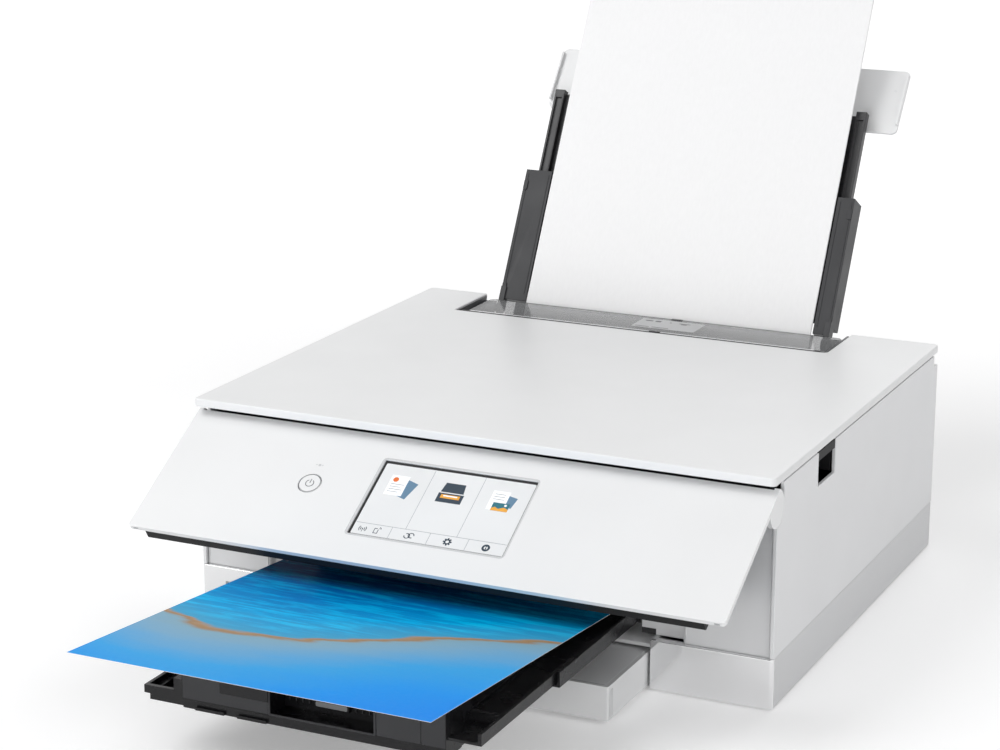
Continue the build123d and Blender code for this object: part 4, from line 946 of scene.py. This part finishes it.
def cassette():
    """The cassette with fine lines along its front and its rim."""
    dress("cassette", "white_gloss", 0.12, 2)
    dress("cassette_cover", "white_side", 0.3)
    dress("cassette_length_guide", "grey_plastic", 0.3)
    low, high = lowest("cassette"), highest("cassette")
    front = facing_front(low.y, low.z)
    left, right = low.x / MM, high.x / MM
    top = (high.z - low.z) / MM
    lines = [rectangle((left + 3, right - 3), (top - 3.2, top - 2.9)),
             rectangle((left + 3, right - 3), (2.1, 2.4))]
    plates("cassette_front_lines", front, lines, -0.3, -0.02, "mark_light", "paper_cassette",
           0)
    edge = Place((0, low.y, high.z), (1, 0, 0), (0, 1, 0))
    plates("cassette_rim_line", edge, [rectangle((left + 2.7, right - 2.7), (2.6, 3.1))], -0.4, -0.02,
           "mark_grey", "paper_cassette", 0)


def print_material():
    """A glossy print of soft bands: azure, a thin sand-coloured line, streaked blue and deep blue."""
    shader = Shader("print")
    low, high = lowest("printed_sheet"), highest("printed_sheet")
    split = shader.add("ShaderNodeSeparateXYZ")
    shader.link(shader.place, "Object", split, "Vector")
    far = shader.between(split, "Y", low.y, high.y)
    across = shader.between(split, "X", low.x, high.x)

    swell = shader.noise(9, 3, (1, 2.2, 1), 0.55)
    swirl = shader.noise(30, 5, (0.7, 3.2, 1), 0.6)
    turn = shader.scaled(across, "Result", 1.25 * math.pi, 0.2 * math.pi)
    curve = shader.add("ShaderNodeMath", operation="SINE")
    shader.link(turn, "Value", curve, 0)
    tilt = shader.scaled(curve, "Value", 0.13, (far, "Result"))
    lift = shader.scaled(swell, "Fac", 0.12, (tilt, "Value"))
    fold = shader.scaled(swirl, "Fac", 0.05, (lift, "Value"))
    bands = shader.ramp(fold, "Value", (
        (0.00, (0.0, 0.27, 0.90)), (0.12, (0.0, 0.31, 0.90)), (0.27, (0.03, 0.38, 0.82)),
        (0.40, (0.20, 0.42, 0.62)), (0.455, (0.24, 0.42, 0.54)), (0.468, (0.36, 0.22, 0.11)),
        (0.478, (0.42, 0.28, 0.17)), (0.486, (0.05, 0.36, 0.62)), (0.60, (0.0, 0.33, 0.72)),
        (0.74, (0.0, 0.19, 0.56)), (0.88, (0.0, 0.075, 0.33)), (1.00, (0.0, 0.05, 0.26))))
    streaks = shader.noise(75, 4, (0.35, 3.0, 1), 0.65)
    glints = shader.ramp(streaks, "Fac", ((0.46, (0, 0, 0)), (0.6, (0.0, 0.2, 0.22))))
    reach = shader.between(fold, "Value", 0.49, 0.56)
    mix = shader.add("ShaderNodeMix", data_type="RGBA", blend_type="ADD")
    shader.link(reach, "Result", mix, "Factor")
    shader.link(bands, "Color", mix, 6)
    shader.link(glints, "Color", mix, 7)
    shader.link(mix, 2, shader.surface, "Base Color")
    fine = shader.noise(500, 2)
    gloss = shader.span(fine, "Fac", 0.36, 0.42)
    shader.link(gloss, "Result", shader.surface, "Roughness")
    shader.bump(fine, "Fac", 0.000001)
    shader.set(Specular_IOR_Level=0.05)
    return shader


PRINT_STEPS = (12, 40)
PRINT_FACES = (0.06, 0.24)
PRINT_BEND = -28
PRINT_RISE = math.radians(5.3)
ROLL_HEIGHT = 0.04
ROLL_REACH = 60


def printed_sheet():
    """The sheet on its way out: level in the slot, then rising to its front edge with a faint roll."""
    MATERIALS["print"] = print_material()
    low, high = lowest("printed_sheet") / MM, highest("printed_sheet") / MM
    bend = PRINT_BEND + LID_FRONT / MM
    data = bmesh.new()
    rows = []
    for j in range(PRINT_STEPS[1] + 1):
        y = high.y + (low.y - high.y) * j / PRINT_STEPS[1]
        ramp = max(0.0, bend - y)
        z = low.z + ramp * math.tan(PRINT_RISE)
        pair = []
        for height in PRINT_FACES:
            line = []
            for i in range(PRINT_STEPS[0] + 1):
                s = i / PRINT_STEPS[0]
                x = low.x + s * (high.x - low.x)
                roll = ROLL_HEIGHT * math.sin(math.pi * s) * min(1, ramp / ROLL_REACH)
                line.append(data.verts.new(Vector((x, y, z + height + roll)) * MM))
            pair.append(line)
        rows.append(pair)
    for a, b in zip(rows, rows[1:]):
        for i in range(PRINT_STEPS[0]):
            data.faces.new((a[1][i], a[1][i + 1], b[1][i + 1], b[1][i]))
            data.faces.new((a[0][i], b[0][i], b[0][i + 1], a[0][i + 1]))
        for i in (0, -1):
            data.faces.new((a[0][i], a[1][i], b[1][i], b[0][i]))
    for pair in (rows[0], rows[-1]):
        for i in range(PRINT_STEPS[0]):
            data.faces.new((pair[0][i], pair[0][i + 1], pair[1][i + 1], pair[1][i]))
    bmesh.ops.recalc_face_normals(data, faces=data.faces)
    for face in data.faces:
        face.material_index = 0 if face.normal.z > 0.5 else 1
    piece = finish_mesh("printed_sheet_page", data, ["print", "paper"], "printed_sheet")
    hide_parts("printed_sheet")


# Inside: rollers, gears, carriage and electrics keep their CAD shapes
# The patches reuse the screen's lit looks, so each glows faintly though it is no lamp: a painted glow.
GLOWING_PATCH_LOOKS = ("ui_slate", "ui_teal", "ink", "ui_orange", "ui_amber")


def inside():
    """Looks for the works inside, and a coloured patch on each ink tank, which glows faintly."""
    looks = {
        "eject_roller": "rubber", "feed_roller": "rubber", "eject_gear": "grey_plastic",
        "feed_gear": "grey_plastic", "idler_gear": "grey_plastic", "motor_pinion": "grey_plastic",
        "feed_motor": "steel", "star_wheels": "steel", "carriage_rail": "steel", "carriage_motor": "steel",
        "carriage_belt": "rubber", "usb_port": "steel",
    }
    for node, look in looks.items():
        paint(node, look)
    shells = {
        "platen": "black_plastic", "carriage": "black_plastic", "print_head": "black_gloss",
        "capping_station": "black_plastic", "main_board": "circuit", "power_supply": "black_plastic",
        "power_inlet": "black_plastic",
    }
    for node, look in shells.items():
        dress(node, look, 0.3)
    for number, look in enumerate(GLOWING_PATCH_LOOKS, 1):
        dress(f"ink_tank_{number}", "ink", 0.3)
        low, high = lowest(f"ink_tank_{number}") / MM, highest(f"ink_tank_{number}") / MM
        label = facing_front(low.y * MM)
        outline = rounded((low.x + 2, high.x - 2), (high.z - 20, high.z - 8), 1)
        plates(f"tank_patch_{number}", label, [outline], -0.05, 0.1, look, "carriage", 0)


casing()
side_details()
rear_details()
fascia_details()
control_panel()
panel_edge()
feed_slot()
rear_support()
trays()
cassette()
printed_sheet()
inside()


# Stage, light and camera
GLOW_REACH = (0.6, 3.0)
FLOOR_REACH = 6
FLOOR_COLOUR = (0.85, 0.85, 0.855)
FLOOR_GLOW = (0.27, 0.8)
WORLD_LIGHT = 0.36


def white_to_the_eye(name, colour, near_glow, far_glow):
    """A pale surface that also glows for the camera and in reflections, more so far from the object."""
    shader = Shader(name)
    clouds = shader.noise(3, 2)
    colours = shader.ramp(clouds, "Fac", ((0.3, tinted(colour, 0.995)), (0.7, tinted(colour, 1.005))))
    shader.link(colours, "Color", shader.surface, "Base Color")
    shader.set(Roughness=0.9, Specular_IOR_Level=0.1)
    shader.set(Emission_Color=(1, 1, 1, 1))
    reach = shader.add("ShaderNodeVectorMath", operation="LENGTH")
    shader.link(shader.place, "Object", reach, 0)
    glow = shader.add("ShaderNodeMapRange")
    glow.inputs["From Min"].default_value = GLOW_REACH[0]
    glow.inputs["From Max"].default_value = GLOW_REACH[1]
    glow.inputs["To Min"].default_value = near_glow
    glow.inputs["To Max"].default_value = far_glow
    shader.link(reach, "Value", glow, "Value")
    seen = shader.add("ShaderNodeMath", operation="MULTIPLY")
    shader.link(glow, "Result", seen, 0)
    shader.link(seen_ray(shader.nodes, shader.links, 1.0), 0, seen, 1)
    shader.link(seen, "Value", shader.surface, "Emission Strength")
    return shader


def seen_ray(nodes, links, strength, rest=0.0):
    """strength for camera, glossy and transmission rays, and rest for all others."""
    path = nodes.new("ShaderNodeLightPath")
    total = path.outputs["Is Camera Ray"]
    for ray in ("Is Glossy Ray", "Is Transmission Ray"):
        both = nodes.new("ShaderNodeMath")
        both.operation = "MAXIMUM"
        links.new(total, both.inputs[0])
        links.new(path.outputs[ray], both.inputs[1])
        total = both.outputs[0]
    scale = nodes.new("ShaderNodeMapRange")
    scale.inputs["To Min"].default_value = rest
    scale.inputs["To Max"].default_value = strength
    links.new(total, scale.inputs["Value"])
    return scale


def stage():
    """A wide pale floor and an even white world."""
    mesh = bpy.data.meshes.new("floor")
    span = (-FLOOR_REACH, FLOOR_REACH)
    corners = [(u, v, 0) for u, v in rectangle(span, span)]
    mesh.from_pydata(corners, [], [(0, 1, 2, 3)])
    floor = bpy.data.objects.new("floor", mesh)
    bpy.context.scene.collection.objects.link(floor)
    mesh.materials.append(white_to_the_eye("floor", FLOOR_COLOUR, *FLOOR_GLOW).material)

    world = bpy.data.worlds.new("studio")
    bpy.context.scene.world = world
    world.use_nodes = True
    nodes, links = world.node_tree.nodes, world.node_tree.links
    background = nodes["Background"]
    background.inputs["Color"].default_value = (1, 1, 1, 1)
    links.new(seen_ray(nodes, links, 1.0, WORLD_LIGHT).outputs[0], background.inputs["Strength"])


LAMPS = (
    ("key", (-1.1, -0.9, 1.7), (-0.05, -0.05, 0.1), 1.5, 21),
    ("side", (1.7, -0.5, 0.9), (0.1, 0, 0.08), 1.2, 8),
    ("front", (-0.6, -2.0, 0.5), (0, 0, 0.1), 1.2, 5),
    ("low", (0.25, -1.7, 0.1), (0.05, -0.1, 0.03), 0.6, 7),
    ("back", (0.2, 1.7, 1.4), (0, 0.1, 0.15), 1.4, 10),
)


def lights():
    """Round area lamps, each with a place, a target, a size and a power."""
    for name, place, target, size, power in LAMPS:
        lamp = bpy.data.lights.new(name, "AREA")
        lamp.shape = "DISK"
        lamp.size = size
        lamp.energy = power
        holder = bpy.data.objects.new(name, lamp)
        bpy.context.scene.collection.objects.link(holder)
        holder.location = place
        direction = Vector(target) - Vector(place)
        holder.rotation_euler = direction.to_track_quat("-Z", "Y").to_euler()


CAMERA_FROM_LID = Vector((0.8047, -1.2567, 0.4252))
CAMERA_AZIMUTH = math.radians(25.465)
CAMERA_ELEVATION = math.radians(15.506)
FOCAL_PIXELS = 2538.5
IMAGE_WIDTH = 1000
SENSOR = 36


def camera():
    """The view solved from the lid's corners, placed from the lid's front left top corner."""
    data = bpy.data.cameras.new("camera")
    data.sensor_width = SENSOR
    data.lens = FOCAL_PIXELS / IMAGE_WIDTH * SENSOR
    holder = bpy.data.objects.new("camera", data)
    bpy.context.scene.collection.objects.link(holder)
    corner = Vector((LID_LOW.x, LID_FRONT, LID_TOP))
    holder.location = corner + CAMERA_FROM_LID
    level = math.cos(CAMERA_ELEVATION)
    look = Vector((-math.sin(CAMERA_AZIMUTH) * level, math.cos(CAMERA_AZIMUTH) * level,
                   -math.sin(CAMERA_ELEVATION)))
    holder.rotation_euler = look.to_track_quat("-Z", "Y").to_euler()
    bpy.context.scene.camera = holder


stage()
lights()
camera()
bpy.context.scene.view_settings.view_transform = "Standard"
